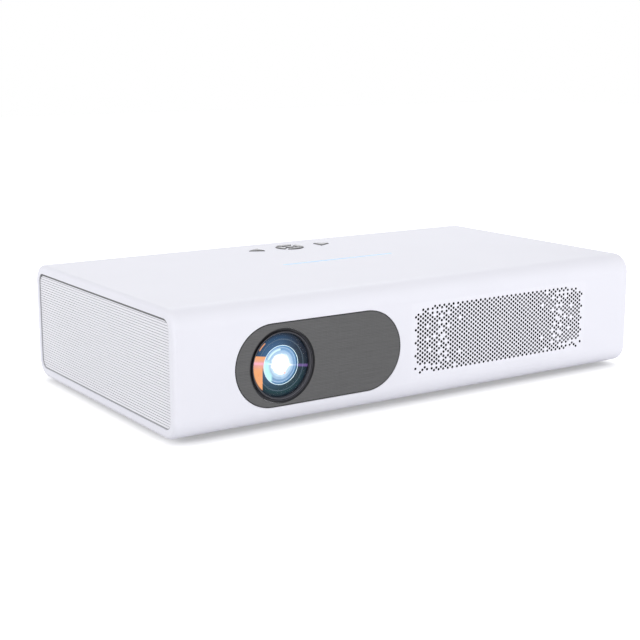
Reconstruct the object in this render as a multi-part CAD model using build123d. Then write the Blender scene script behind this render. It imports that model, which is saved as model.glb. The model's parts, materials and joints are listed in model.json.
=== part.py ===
from build123d import *
import math
import os

# A compact video projector with a disc drive in its right-hand end.
# Millimetres. X runs along the front, +Y points to the rear and +Z up. The origin is on the
# table, under the middle of the casing. The front faces -Y, the ribbed speaker grille of the
# left end faces -X, and the disc tray opens towards +X.

# Casing
body_width = 337.0  # from end to end
body_depth = 187.0  # from front to rear
body_height = 72.0  # from underside to top
stand_gap = 2.5  # from the table to the underside
wall = 2.4
edge_radius = 11.4  # the four long edges
rim_round = 2.4  # rounding of the casing's two ends
rim_side = 5.2  # width of the rim beside an end opening
rim_top = 5.5  # width of the rim above and below an end opening
rim_depth = 0.7  # from the rim back to the panel in the opening
panel_gap = 0.4  # round a panel, in its opening
opening_radius = 5.8
lip_width = 2.0  # ledge behind an end panel
lip_depth = 2.0
fit_gap = 0.15  # round a piece that is set into another
base_margin = 12.0  # from the casing's outline to the base plate
base_corner = 6.0

# Ribbed end panels
panel_thickness = 2.4
rib_pitch = 1.536
rib_width = 1.2
groove_depth = 0.7

# Front vent: holes on a staggered grid
vent_x = 59.0
vent_height = 36.2  # its middle, above the underside
vent_columns = 77
vent_rows = 31
vent_pitch_x = 1.772
vent_pitch_z = 1.303
vent_hole = 0.80  # radius
vent_margin = 2.42

# Grey lens panel and the lens
trim_x = -75.6
trim_height = 34.7  # above the underside
trim_span = 64.2  # between the centres of its round ends
trim_radius = 23.7
trim_thickness = 1.2
trim_gap = 0.25
lens_x = -101.1
lens_height = 33.9
barrel_radius = 19.2
barrel_wall = 1.2
barrel_length = 32.0
barrel_recess = 0.4  # from the front of the casing to the barrel's rim
bezel_width = 1.8
glass_inset = 1.0  # from the barrel's rim to the edge of its front glass
glass_edge = 2.6
glass_rise = 1.2
rear_glass_radius = 14.0
tube_wall = 1.9
focus_travel = 6.0
slide_gap = 0.05  # running clearance of shafts and barrels
nut_back = 15.0  # from the front of the casing to the barrel's nut
nut_length = 4.0
focus_screw_radius = 1.5
focus_motor_radius = 5.0
focus_motor_length = 11.0

# Light engine behind the lens
engine_wall = 1.8
engine_half = 25.0  # half the width of the light path
engine_height = 58.0
engine_front = 48.5  # from the front of the casing to the mirror chamber
engine_lift = 3.1  # above the base plate
arm_length = 57.0
lid_thickness = 1.6
mirror_thickness = 2.0
lens_plate = 2.0
lcd_thickness = 2.4
condenser_radius = 22.0
condenser_rise = 9.0
condenser_edge = 2.0
lamp_base = 3.0
sink_length = 34.0
sink_base = 5.0
fin_pitch = 4.0
fin_thickness = 1.2

# Fans
exhaust_size = 60.0
exhaust_depth = 15.0
exhaust_x = 46.0
intake_size = 50.0
intake_depth = 10.0
intake_x = -10.0
fan_shaft = 1.5
fan_hub = 0.2  # of the fan's size
blade_count = 7
blade_angle = 40.0
intake_slot_count = 13
intake_slot_pitch = 3.8
intake_slot_length = 40.0
intake_slot_width = 1.9
base_slots = 12  # air slots in the base, under the light engine
base_slot_pitch = 4.0
base_slot_length = 26.0
base_slot_width = 2.0

# Light bar and keys in the top
controls_x = 1.0  # middle of the keys and of the light bar
bar_length = 84.6
bar_width = 2.1
key_y = 59.3
key_side_x = 27.5  # from their middle to either side key
key_side_width = 10.4
key_side_depth = 9.4
ok_radius = 2.8
petal_outer = 9.6
petal_gap = 2.0
key_proud = 0.6
key_travel = 0.5
key_lip = 0.35
switch_height = 4.3
board_thickness = 1.6

# Disc drive
disc_radius = 60.0
disc_hole = 7.5
well_gap = 0.5
tray_rim = 0.7
runner_thickness = 1.8
runner_gap = 0.2
drive_sheet = 0.6
drive_length = 124.0
drive_height = 12.7
drive_lift = 50.0  # above the casing's underside
drive_y = 4.0
tray_front_thickness = 4.0
tray_length = 117.4
tray_floor = 1.0
well_depth = 1.6
sled_angle = 45.0
sled_inner = 24.0  # laser lens from the spindle, at rest
sled_travel = 34.0
sled_lead = 4.5  # from the laser lens to the sled's outer edge
sled_back = 8.0  # from the laser lens to its inner edge
end_block = 3.0
guide_radius = 1.2
guide_offset = 11.0  # from the laser's path to either guide rod
screw_offset = 16.0
sled_screw_radius = 1.0
sled_motor_radius = 2.3
sled_motor_length = 12.0
hub_clearance = 14.5
spindle_shaft = 1.0
button_length = 9.0
button_height = 3.0
button_inset = 16.0  # from the end of the tray's front
button_travel = 0.6
button_pocket = 2.6

# Feet, inserts and screws
foot_y = -68.0
foot_radius = 9.0
foot_wheel = 4.0
pad_thickness = 1.6
foot_travel = 10.0
stud_radius = 3.0
insert_length = 8.0
rear_foot_x = 128.0
rear_foot_y = 66.0
rear_foot_radius = 8.0
foot_inset = 0.6
bush_y = -40.0
bush_bore = 2.6
bush_length = 9.0
screw_radius = 1.4
screw_head = 2.8
screw_length = 12.0
column_radius = 3.6
column_x = 150.0
column_y = 74.0

# Circuit boards, sockets and loudspeakers
main_board = (52.0, 130.0, -48.0, 88.0)
main_board_lift = 11.1
power_board = (-135.0, -42.0, 32.0, 71.0)
power_board_lift = 6.0
hdmi_x = 64.0
usb_x = 84.0
hdmi_size = (15.0, 6.4)  # width and height of the shell
usb_size = (14.4, 7.0)
jack_x = (102.0, 116.0)
jack_size = 7.0
jack_nose = 2.9
jack_bore = 1.8
inlet_x = -120.0
inlet_size = (24.0, 17.0)
inlet_lift = 21.5  # from the underside to the middle of the mains inlet
window_x = -85.0
window_radius = 5.0
speaker_radius = 20.0
speaker_depth = 18.0
left_speaker_y = 45.0
right_speaker_y = 0.0

# Places worked out from the sizes above
end_x = body_width / 2
face_y = body_depth / 2
inner_y = face_y - wall
underside = stand_gap
roof = underside + body_height
middle_z = underside + body_height / 2
inner_floor = underside + wall
inner_roof = roof - wall
panel_face = end_x - rim_depth
panel_back = panel_face - panel_thickness
cavity_end = panel_back - lip_depth
opening_width = body_depth - 2 * rim_side
opening_height = body_height - 2 * rim_top
base_x = end_x - base_margin
base_y = face_y - base_margin
lens_z = underside + lens_height
trim_z = underside + trim_height
vent_z = underside + vent_height
front_y = -face_y
bezel_radius = barrel_radius + bezel_width
tube_radius = barrel_radius + tube_wall
glass_radius = barrel_radius - 1.0
nut_y = front_y + nut_back
engine_y0 = front_y + engine_front
engine_y1 = engine_y0 + 2 * engine_half + 20.0
path_y = engine_y1 - engine_half
engine_z0 = inner_floor + engine_lift
engine_z1 = engine_z0 + engine_height
chamber_x0 = lens_x - 30.0
chamber_x1 = lens_x + 30.0
arm_x1 = chamber_x1 + arm_length
condenser_x = arm_x1 - 24.0
focus_screw_x = lens_x + tube_radius + focus_motor_radius + 0.3
exhaust_y = front_y + edge_radius + 0.1
exhaust_z = inner_floor + exhaust_size / 2
intake_y = face_y - edge_radius - 0.1 - intake_depth
intake_z = inner_floor + intake_size / 2
board_z = inner_roof - 8.0
socket_z = inner_floor + main_board_lift + board_thickness
inlet_z = underside + inlet_lift
right_speaker_z = underside + rim_top + lip_width + speaker_radius + 0.5
drive_half = disc_radius + well_gap + tray_rim + 2 * runner_gap + runner_thickness + drive_sheet
drive_z0 = underside + drive_lift
drive_z1 = drive_z0 + drive_height
tray_x1 = panel_face - tray_front_thickness
drive_x0 = tray_x1 - drive_length
spindle_x = tray_x1 - disc_radius - well_gap - 1.0
tray_half = disc_radius + well_gap + tray_rim
tray_z0 = drive_z0 + drive_sheet + 0.8
tray_z1 = tray_z0 + 8.1
well_z = tray_z1 - well_depth
deck_z = tray_z0 + drive_sheet  # top of the steel deck under the tray
mech_z = (deck_z + well_z - tray_floor) / 2
rod_start = sled_inner - sled_back - end_block / 2 - 0.5
rod_end = sled_inner + sled_travel + sled_lead + end_block / 2 + 0.3
button_y = drive_y + drive_half - button_inset
button_z = (drive_z0 + drive_z1) / 2


def block(x0, x1, y0, y1, z0, z1):
    centre = Pos((x0 + x1) / 2, (y0 + y1) / 2, (z0 + z1) / 2)
    return centre * Box(x1 - x0, y1 - y0, z1 - z0)


def rod_x(radius, x0, x1, y, z):
    return Pos((x0 + x1) / 2, y, z) * Rot(0, 90, 0) * Cylinder(radius, x1 - x0)


def rod_y(radius, y0, y1, x, z):
    return Pos(x, (y0 + y1) / 2, z) * Rot(90, 0, 0) * Cylinder(radius, y1 - y0)


def rod_z(radius, z0, z1, x, y):
    return Pos(x, y, (z0 + z1) / 2) * Cylinder(radius, z1 - z0)


def plate_x(outline, x0, x1, y, z):
    # The outline is drawn in Y and Z and pulled from x0 to x1.
    plane = Plane(origin=(x0, y, z), x_dir=(0, 1, 0), z_dir=(1, 0, 0))
    return extrude(plane * outline, x1 - x0)


def plate_y(outline, y0, y1, x, z):
    # The outline is drawn in X and Z and pulled forward from y1 to y0.
    plane = Plane(origin=(x, y1, z), x_dir=(1, 0, 0), z_dir=(0, -1, 0))
    return extrude(plane * outline, y1 - y0)


def plate_z(outline, z0, z1, x, y):
    return extrude(Plane(origin=(x, y, z0)) * outline, z1 - z0)


def turned_x(points, y, z):
    # A closed profile of (x, radius) points turned round an axis along X.
    profile = make_face(Polyline(*points, close=True))
    return Pos(0, y, z) * revolve(profile, Axis.X)


def turned_y(points, x, z):
    # A closed profile of (radius, y) points turned round an axis along Y.
    profile = make_face(Polyline(*points, close=True))
    return Pos(x, 0, z) * revolve(profile, Axis.Y)


def turned_z(points, x, y):
    # A closed profile of (radius, z) points turned round an axis along Z.
    profile = make_face(Plane.XZ * Polyline(*points, close=True))
    return Pos(x, y, 0) * revolve(profile, Axis.Z)


def casing_form(inset, length):
    width = body_depth - 2 * inset
    height = body_height - 2 * inset
    form = Pos(0, 0, middle_z) * Box(length, width, height)
    return fillet(form.edges().filter_by(Axis.X), edge_radius - inset)


def end_opening(shrink, x0, x1):
    width = opening_width - 2 * shrink
    height = opening_height - 2 * shrink
    radius = opening_radius - shrink
    return plate_x(RectangleRounded(width, height, radius), x0, x1, 0, middle_z)


def stadium(grow):
    return SlotCenterToCenter(trim_span, 2 * (trim_radius + grow))


def base_outline(grow):
    return RectangleRounded(2 * (base_x + grow), 2 * (base_y + grow), base_corner + grow)


def column_places():
    corners = [(sx * column_x, sy * column_y) for sx in (-1, 1) for sy in (-1, 1)]
    return corners + [(-50.0, -column_y), (30.0, column_y)]


def key_triangle(grow):
    # The left key points to the left.
    half = key_side_width / 2
    deep = key_side_depth / 2
    outline = Polygon((-deep, 0), (deep, -half), (deep, half), align=None)
    return offset(outline, grow, kind=Kind.INTERSECTION) if grow else outline


def key_petal(grow):
    # A quarter of the ring round the OK key, on its rear side.
    ring = Circle(petal_outer + grow) - Circle(ok_radius + petal_gap - grow)
    apex = (petal_gap / 2 - grow) * math.sqrt(2)
    reach = 2 * petal_outer
    wedge = Pos(0, apex) * Polygon((0, 0), (reach, reach), (-reach, reach), align=None)
    return ring & wedge


def key_outlines(grow):
    outlines = {
        "left_key": Pos(controls_x - key_side_x, key_y) * key_triangle(grow),
        "right_key": Pos(controls_x + key_side_x, key_y) * Rot(0, 0, 180) * key_triangle(grow),
        "ok_key": Pos(controls_x, key_y) * Circle(ok_radius + grow),
    }
    for turn, name in enumerate(("up_key", "previous_key", "down_key", "next_key")):
        outlines[name] = Pos(controls_x, key_y) * Rot(0, 0, 90 * turn) * key_petal(grow)
    return outlines


def key_stems():
    middle = (petal_outer + ok_radius + petal_gap) / 2
    return {
        "left_key": (controls_x - key_side_x, key_y),
        "right_key": (controls_x + key_side_x, key_y),
        "ok_key": (controls_x, key_y),
        "up_key": (controls_x, key_y + middle),
        "previous_key": (controls_x - middle, key_y),
        "down_key": (controls_x, key_y - middle),
        "next_key": (controls_x + middle, key_y),
    }


def vent_size():
    width = (vent_columns - 1) * vent_pitch_x + 2 * (vent_hole + vent_margin)
    height = (vent_rows - 1) * vent_pitch_z + 2 * (vent_hole + vent_margin)
    return width, height


def socket_cutouts():
    # Windows in the rear wall for the sockets, each a little larger than its socket.
    y0 = inner_y - 1.0
    y1 = face_y + 1.0
    grow = 2 * fit_gap
    hdmi = Rectangle(hdmi_size[0] + grow, hdmi_size[1] + grow)
    usb = Rectangle(usb_size[0] + grow, usb_size[1] + grow)
    inlet = RectangleRounded(inlet_size[0] + grow, inlet_size[1] + grow, 1.5)
    cuts = [
        plate_y(hdmi, y0, y1, hdmi_x, socket_z + hdmi_size[1] / 2),
        plate_y(usb, y0, y1, usb_x, socket_z + usb_size[1] / 2),
        plate_y(inlet, y0, y1, inlet_x, inlet_z),
        rod_y(window_radius + fit_gap, y0, y1, window_x, inlet_z),
    ]
    for x in jack_x:
        cuts.append(rod_y(jack_nose + fit_gap, y0, y1, x, socket_z + jack_size / 2))
    return cuts


def intake_slots(y0, y1):
    slot = SlotOverall(intake_slot_length, intake_slot_width, rotation=90)
    first = intake_x - (intake_slot_count - 1) / 2 * intake_slot_pitch
    places = [first + i * intake_slot_pitch for i in range(intake_slot_count)]
    return [plate_y(slot, y0, y1, x, intake_z) for x in places]


def thumb_notch():
    # A shallow scoop in the lower front edge, for a finger that turns the foot.
    radius = 6.0
    rise = 1.4
    return rod_y(radius, front_y - 1.0, -base_y, 0, underside + rise - radius)


def main_shell():
    outer = casing_form(0, body_width)
    ends = outer.faces().sort_by(Axis.X)[0].edges() + outer.faces().sort_by(Axis.X)[-1].edges()
    shell = fillet(ends, rim_round) - casing_form(wall, 2 * cavity_end)
    for side in (-1, 1):
        far = side * (end_x + 1.0)
        shell -= end_opening(0, *sorted((side * panel_back, far)))
        shell -= end_opening(lip_width, *sorted((side * (cavity_end - 1.0), far)))
    shell -= plate_z(base_outline(fit_gap), underside - 1.0, inner_floor, 0, 0)
    shell += [rod_z(column_radius, inner_floor, inner_roof + 1.0, x, y) for x, y in column_places()]
    bore = screw_radius + slide_gap
    top = inner_floor + screw_length
    shell -= [rod_z(bore, inner_floor - 1.0, top, x, y) for x, y in column_places()]
    posts = (controls_x - key_side_x - 8.0, controls_x + key_side_x + 8.0)
    shell += [rod_z(2.2, board_z, inner_roof + 1.0, x, key_y) for x in posts]

    lens_front = (front_y - 1.0, front_y + trim_thickness)
    shell -= plate_y(stadium(trim_gap), *lens_front, trim_x, trim_z)
    shell -= rod_y(bezel_radius + fit_gap, front_y - 1.0, front_y + wall + 1.0, lens_x, lens_z)
    width, height = vent_size()
    shell -= plate_y(Rectangle(width, height), front_y - 1.0, front_y + wall + 1.0, vent_x, vent_z)
    shell -= thumb_notch()

    shell -= plate_z(Rectangle(bar_length, bar_width), inner_roof - 1.0, roof + 1.0, controls_x, 0)
    for outline in key_outlines(fit_gap).values():
        shell -= plate_z(outline, inner_roof - 1.0, roof + 1.0, 0, 0)
    shell -= socket_cutouts()
    shell -= intake_slots(inner_y - 1.0, face_y + 1.0)
    return shell


def board_posts(board, lift):
    x0, x1, y0, y1 = board
    posts = []
    for x in (x0 + 5.0, x1 - 5.0):
        for y in (y0 + 10.0, y1 - 10.0):
            posts.append(rod_z(2.5, inner_floor - 0.5, inner_floor + lift, x, y))
    return posts


def engine_posts():
    inset = 6.0
    places = [
        (chamber_x0 + inset, engine_y0 + inset),
        (chamber_x0 + inset, engine_y1 - inset),
        (arm_x1 - inset, path_y - engine_half + inset),
        (arm_x1 - inset, engine_y1 - inset),
    ]
    return [rod_z(3.0, inner_floor - 0.5, engine_z0, x, y) for x, y in places]


def base_plate():
    plate = plate_z(base_outline(0), underside, inner_floor, 0, 0)
    wheel_top = pad_thickness + 0.1 + foot_wheel
    neck_z = wheel_top + 0.4
    plate += rod_z(foot_radius + 3.5, underside, neck_z + 2.0, 0, foot_y)
    plate += rod_z(stud_radius + 4.0, underside, neck_z + insert_length, 0, foot_y)
    plate += rod_z(bush_bore + 4.6, underside, underside + bush_length + 1.5, 0, bush_y)
    plate += board_posts(main_board, main_board_lift)
    plate += board_posts(power_board, power_board_lift)
    plate += engine_posts()
    plate -= rod_z(foot_radius + 1.0, underside - 1.0, neck_z, 0, foot_y)
    plate -= rod_z(stud_radius + 1.6, neck_z - 1.0, neck_z + insert_length + 1.0, 0, foot_y)
    plate -= rod_z(bush_bore + 2.2, underside - 1.0, underside + bush_length, 0, bush_y)
    for x, y in column_places():
        plate -= rod_z(screw_radius + 0.2, underside - 1.0, inner_floor + 1.0, x, y)
        plate -= rod_z(screw_head + 0.2, underside - 1.0, underside + 1.3, x, y)
    for side in (-1, 1):
        x = side * rear_foot_x
        pocket_z = underside + foot_inset
        plate -= rod_z(rear_foot_radius + fit_gap, underside - 1.0, pocket_z, x, rear_foot_y)
    slot = SlotOverall(base_slot_length, base_slot_width, rotation=90)
    for i in range(base_slots):
        x = lens_x + (i - (base_slots - 1) / 2) * base_slot_pitch
        plate -= plate_z(slot, underside - 1.0, inner_floor + 0.5, x, path_y)
    return plate


def case_screws():
    screws = []
    for x, y in column_places():
        head = rod_z(screw_head, underside + 0.1, underside + 1.3, x, y)
        shank = rod_z(screw_radius, underside + 1.3, inner_floor + screw_length - 1.0, x, y)
        cross = block(x - 1.6, x + 1.6, y - 0.35, y + 0.35, underside, underside + 0.8)
        cross += block(x - 0.35, x + 0.35, y - 1.6, y + 1.6, underside, underside + 0.8)
        screws.append(head + shank - cross)
    return Compound(children=screws)


def ribbed_panel():
    # The panel of the left end: level ribs on a backing, worked out at -X.
    height = opening_height - 2 * panel_gap
    ribs = int(height / rib_pitch)
    z = middle_z - (ribs * rib_pitch - (rib_pitch - rib_width)) / 2
    low = middle_z - height / 2
    high = middle_z + height / 2
    points = [(-panel_back, low), (-panel_face, low)]
    for i in range(ribs):
        bottom = z + i * rib_pitch
        top = bottom + rib_width
        if i > 0:
            points.append((-panel_face, bottom))
        if i < ribs - 1:
            floor_x = -panel_face + groove_depth
            points.extend([(-panel_face, top), (floor_x, top), (floor_x, top + rib_pitch - rib_width)])
    points.extend([(-panel_face, high), (-panel_back, high)])
    profile = make_face(Plane.XZ * Polyline(*points, close=True))
    comb = extrude(profile, opening_width / 2, both=True)
    return comb & end_opening(panel_gap, -end_x, -panel_back)


def speaker_window(y, z):
    radius = speaker_radius - 3.0
    return rod_x(radius, -panel_face + groove_depth, -panel_back + 1.0, y, z)


def left_grille():
    return ribbed_panel() - speaker_window(left_speaker_y, middle_z)


def right_panel():
    panel = ribbed_panel() - speaker_window(right_speaker_y, right_speaker_z)
    panel = mirror(panel, about=Plane.YZ)
    slot = Rectangle(2 * (drive_half + fit_gap), drive_height + 2 * fit_gap)
    return panel - plate_x(slot, panel_back - 1.0, panel_face + 1.0, drive_y, (drive_z0 + drive_z1) / 2)


def vent_hole_left_out(column, row):
    # The holes thin out towards both ends of the vent, in the same way at each end.
    from_end = min(column, vent_columns - 1 - column)
    top_row = (vent_rows - 1) // 2
    if from_end == 0:
        return row % 6 != 5
    outside = {top_row: 8, top_row - 1: 3, -top_row: 2, 1 - top_row: 3}
    if from_end < outside.get(row, 0):
        return True
    left_out = {
        14: (17,), 13: (2, 6, 8, 10, 12), 11: (8, 14), 10: (11,), 8: (19,), 7: (10, 12), 6: (5,),
        5: (14,), 4: (11,), 3: (10,), 1: (8, 12), 0: (5, 11), -2: (13,), -3: (10,), -5: (6, 14),
        -6: (11,), -7: (10,), -8: (13, 19), -10: (11,), -11: (14,), -12: (1, 3, 5),
        -13: (2, 6, 8, 10), -14: (17,), -15: (4, 6),
    }
    return from_end in left_out.get(row, ())


def front_vent_grille():
    width, height = vent_size()
    middle = (vent_rows - 1) // 2
    x0 = vent_x - (vent_columns - 1) / 2 * vent_pitch_x
    holes = []
    for column in range(vent_columns):
        for row in range(-middle, middle + 1):
            if (column + row) % 2 == 0 or vent_hole_left_out(column, row):
                continue
            x = x0 + column * vent_pitch_x
            z = vent_z + row * vent_pitch_z
            plane = Plane(origin=(x, front_y, z), x_dir=(1, 0, 0), z_dir=(0, -1, 0))
            holes.append(Wire.make_circle(vent_hole, plane))
    corners = [
        (vent_x - width / 2, front_y, vent_z - height / 2),
        (vent_x + width / 2, front_y, vent_z - height / 2),
        (vent_x + width / 2, front_y, vent_z + height / 2),
        (vent_x - width / 2, front_y, vent_z + height / 2),
    ]
    face = Face(Wire.make_polygon(corners, close=True), holes)
    return Solid.extrude(face, Vector(0, wall, 0))


def lens_trim():
    plate = plate_y(stadium(0), front_y, front_y + trim_thickness, trim_x, trim_z)
    return plate - rod_y(bezel_radius + 0.3, front_y - 1.0, front_y + wall, lens_x, lens_z)


def lens_bezel():
    # Stepped ring: a narrow lip, a groove, a ring that slopes to the barrel and a flange inside.
    mouth = barrel_radius + 0.3
    back = front_y + wall
    points = [
        (bezel_radius, front_y + 0.2),
        (bezel_radius - 0.25, front_y + 0.2),
        (bezel_radius - 0.35, front_y + 0.9),
        (bezel_radius - 0.8, front_y + 0.9),
        (bezel_radius - 0.9, front_y + 0.1),
        (mouth, front_y + 1.0),
        (mouth, back + 1.2),
        (bezel_radius + 1.8, back + 1.2),
        (bezel_radius + 1.8, back),
        (bezel_radius, back),
    ]
    return turned_y(points, lens_x, lens_z)


def lens_tube():
    # Fixed sleeve that the barrel slides in, with a flange on the light engine.
    front = front_y + wall + 1.2
    flange = engine_y0 - 3.0
    tube = rod_y(tube_radius, front, engine_y0, lens_x, lens_z)
    tube += rod_y(tube_radius + 5.5, flange, engine_y0, lens_x, lens_z)
    lug_y = front_y + 9.0
    reach = focus_screw_x + focus_screw_radius + 2.0
    tube += block(lens_x, reach, lug_y, lug_y + 3.0, lens_z - 3.5, lens_z + 3.5)
    motor_y = flange - focus_motor_length
    tube += block(lens_x, reach + 2.0, motor_y - 1.5, motor_y, lens_z - 5.0, lens_z + 5.0)
    tube -= rod_y(barrel_radius + slide_gap, front - 1.0, engine_y0 + 1.0, lens_x, lens_z)
    tube -= rod_y(focus_screw_radius + slide_gap, lug_y - 1.0, motor_y + 1.0, focus_screw_x, lens_z)
    slot_y = nut_y - 0.5
    slot_end = nut_y + nut_length + focus_travel + 0.5
    tube -= block(lens_x + 10.0, lens_x + tube_radius + 1.0, slot_y, slot_end, lens_z - 2.5, lens_z + 2.5)
    return tube


def lens_barrel():
    # Sliding barrel: a rim round the front glass, a seat behind it and a nut for the screw.
    front = front_y + barrel_recess
    back = front + barrel_length
    inner = barrel_radius - barrel_wall
    seat = front + glass_inset + glass_edge
    points = [
        (barrel_radius, front),
        (barrel_radius - 0.5, front),
        (glass_radius, front + glass_inset),
        (glass_radius, seat),
        (glass_radius - 2.0, seat),
        (glass_radius - 2.0, seat + 1.0),
        (inner - 2.6, front + glass_edge + 6.0),
        (inner - 2.6, back - 6.0),
        (rear_glass_radius, back - 6.0),
        (rear_glass_radius, back),
        (barrel_radius, back),
    ]
    barrel = turned_y(points, lens_x, lens_z)
    start = lens_x + barrel_radius - 0.6
    end = focus_screw_x + focus_screw_radius + 1.6
    barrel += block(start, end, nut_y, nut_y + nut_length, lens_z - 2.2, lens_z + 2.2)
    bore = focus_screw_radius + slide_gap
    return barrel - rod_y(bore, nut_y - 1.0, nut_y + nut_length + 1.0, focus_screw_x, lens_z)


def glass(radius, edge, rise, y, x, z):
    # A glass element with a domed front; its flat back is at y + edge.
    curve = (radius * radius + rise * rise) / (2 * rise)
    halfway = y - rise + curve - math.sqrt(curve * curve - radius * radius / 4)
    dome = ThreePointArc((0, y - rise), (radius / 2, halfway), (radius, y))
    sides = Polyline((radius, y), (radius, y + edge), (0, y + edge), (0, y - rise))
    return Pos(x, 0, z) * revolve(make_face([dome, sides]), Axis.Y)


def lens_elements():
    front = front_y + barrel_recess
    back = front + barrel_length
    first = glass(glass_radius, glass_edge, glass_rise, front + glass_inset, lens_x, lens_z)
    last = glass(rear_glass_radius, 3.0, 2.4, back - 3.6, lens_x, lens_z)
    return Compound(children=[first, last])


def focus_screw():
    start = front_y + 9.5
    end = engine_y0 - 3.0 - focus_motor_length + 2.0
    return rod_y(focus_screw_radius, start, end, focus_screw_x, lens_z)


def focus_motor():
    back = engine_y0 - 3.0
    front = back - focus_motor_length
    can = rod_y(focus_motor_radius, front, back, focus_screw_x, lens_z)
    return can - rod_y(focus_screw_radius + slide_gap, front - 1.0, front + 2.5, focus_screw_x, lens_z)


def engine_outline(inset):
    x0 = chamber_x0 + inset
    x1 = chamber_x1 - inset
    y0 = engine_y0 + inset
    y1 = engine_y1 - inset
    arm_y0 = path_y - engine_half + inset
    end = arm_x1
    return Polygon((x0, y0), (x1, y0), (x1, arm_y0), (end, arm_y0), (end, y1), (x0, y1), align=None)


def engine_housing():
    housing = plate_z(engine_outline(0), engine_z0, engine_z1, 0, 0)
    inner_z = engine_z0 + engine_wall
    housing -= plate_z(engine_outline(engine_wall), inner_z, engine_z1 + 1.0, 0, 0)
    housing -= rod_y(barrel_radius, engine_y0 - 1.0, engine_y0 + engine_wall + 1.0, lens_x, lens_z)
    half = engine_half - engine_wall
    back = condenser_x + condenser_edge
    holder = block(condenser_x, back, path_y - half, path_y + half, inner_z, engine_z1)
    holder -= rod_x(condenser_radius + slide_gap, condenser_x - 1.0, back + 1.0, path_y, lens_z)
    return housing + holder


def engine_lid():
    lid = plate_z(engine_outline(0), engine_z1, engine_z1 + lid_thickness, 0, 0)
    for x in (lens_x - 24.0, lens_x + 24.0, arm_x1 - 6.0):
        lid += rod_z(3.0, engine_z1, engine_z1 + lid_thickness + 0.6, x, engine_y1 - 5.0)
    return lid


def fold_mirror():
    size = 2 * (engine_half - 5.0) * math.sqrt(2)
    height = engine_height - engine_wall - 6.0
    plate = Box(size, mirror_thickness, height)
    z = engine_z0 + engine_wall + height / 2
    return Pos(lens_x, path_y, z) * Rot(0, 0, 45) * Pos(0, mirror_thickness / 2, 0) * plate


def path_plate(x0, thickness):
    half = engine_half - engine_wall - 0.1
    floor_z = engine_z0 + engine_wall
    return block(x0, x0 + thickness, path_y - half, path_y + half, floor_z, engine_z1 - 0.1)


def field_lenses():
    near = path_plate(chamber_x1 + 4.0, lens_plate)
    far = path_plate(chamber_x1 + 20.0, lens_plate)
    return Compound(children=[near, far])


def lcd_panel():
    frame = path_plate(chamber_x1 + 10.0, lcd_thickness)
    x0 = chamber_x1 + 9.0
    window = block(x0, x0 + 1.8, path_y - 20.0, path_y + 20.0, lens_z - 15.0, lens_z + 15.0)
    return frame - window


def condenser_lens():
    radius = condenser_radius
    rise = condenser_rise
    curve = (radius * radius + rise * rise) / (2 * rise)
    back = condenser_x + condenser_edge
    halfway = condenser_x - rise + curve - math.sqrt(curve * curve - radius * radius / 4)
    dome = ThreePointArc((condenser_x - rise, 0), (halfway, radius / 2), (condenser_x, radius))
    sides = Polyline((condenser_x, radius), (back, radius), (back, 0), (condenser_x - rise, 0))
    return Pos(0, path_y, lens_z) * revolve(make_face([dome, sides]), Axis.X)


def lamp_module():
    half = engine_half - 3.0
    base = block(arm_x1, arm_x1 + lamp_base, path_y - half, path_y + half, lens_z - half, lens_z + half)
    base += block(arm_x1 - 1.5, arm_x1, path_y - 8.0, path_y + 8.0, lens_z - 8.0, lens_z + 8.0)
    x = arm_x1 - 1.5
    cone = [(x, 9.0), (x, 10.0), (x - 14.0, 18.0), (x - 14.0, 17.0)]
    return base + turned_x(cone, path_y, lens_z)


def heat_sink():
    x0 = arm_x1 + lamp_base
    x1 = x0 + sink_length
    low = engine_z0
    high = engine_z1
    points = [(x0, low), (x0, high)]
    fins = int((high - low - fin_thickness) / fin_pitch) + 1
    start = (low + high) / 2 + (fins - 1) / 2 * fin_pitch
    for i in range(fins):
        z = start - i * fin_pitch
        top = z + fin_thickness / 2
        bottom = z - fin_thickness / 2
        points.extend([(x0 + sink_base, top), (x1, top), (x1, bottom), (x0 + sink_base, bottom)])
    points.insert(2, (x0 + sink_base, high))
    points.extend([(x0 + sink_base, low)])
    profile = make_face(Plane.XZ * Polyline(*points, close=True))
    half = engine_half - 1.0
    sink = Pos(0, path_y, 0) * extrude(profile, half, both=True)
    for y in (path_y - half + 4.0, path_y + half - 4.0):
        sink += block(x0, x0 + sink_base, y - 3.0, y + 3.0, inner_floor, low + 1.0)
    return sink


def fan_frame(size, depth, x, y0, z):
    half = size / 2
    bore = half - 1.6
    frame = block(x - half, x + half, y0, y0 + depth, z - half, z + half)
    frame -= rod_y(bore, y0 - 1.0, y0 + depth + 1.0, x, z)
    hole = half - 4.2
    for sx in (-1, 1):
        for sz in (-1, 1):
            frame -= rod_y(1.9, y0 - 1.0, y0 + depth + 1.0, x + sx * hole, z + sz * hole)
    cup = size * fan_hub
    frame += rod_y(cup, y0 + depth - 1.6, y0 + depth, x, z)
    arm = Pos(x, y0 + depth - 0.8, z) * Box(2.4, 1.6, 2 * bore + 1.0)
    frame += [Pos(x, 0, z) * Rot(0, 60 * i, 0) * Pos(-x, 0, -z) * arm for i in range(3)]
    frame += rod_y(fan_shaft + 1.4, y0 + 4.0, y0 + depth, x, z)
    return frame - rod_y(fan_shaft + slide_gap, y0 - 1.0, y0 + depth - 1.0, x, z)


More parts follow.
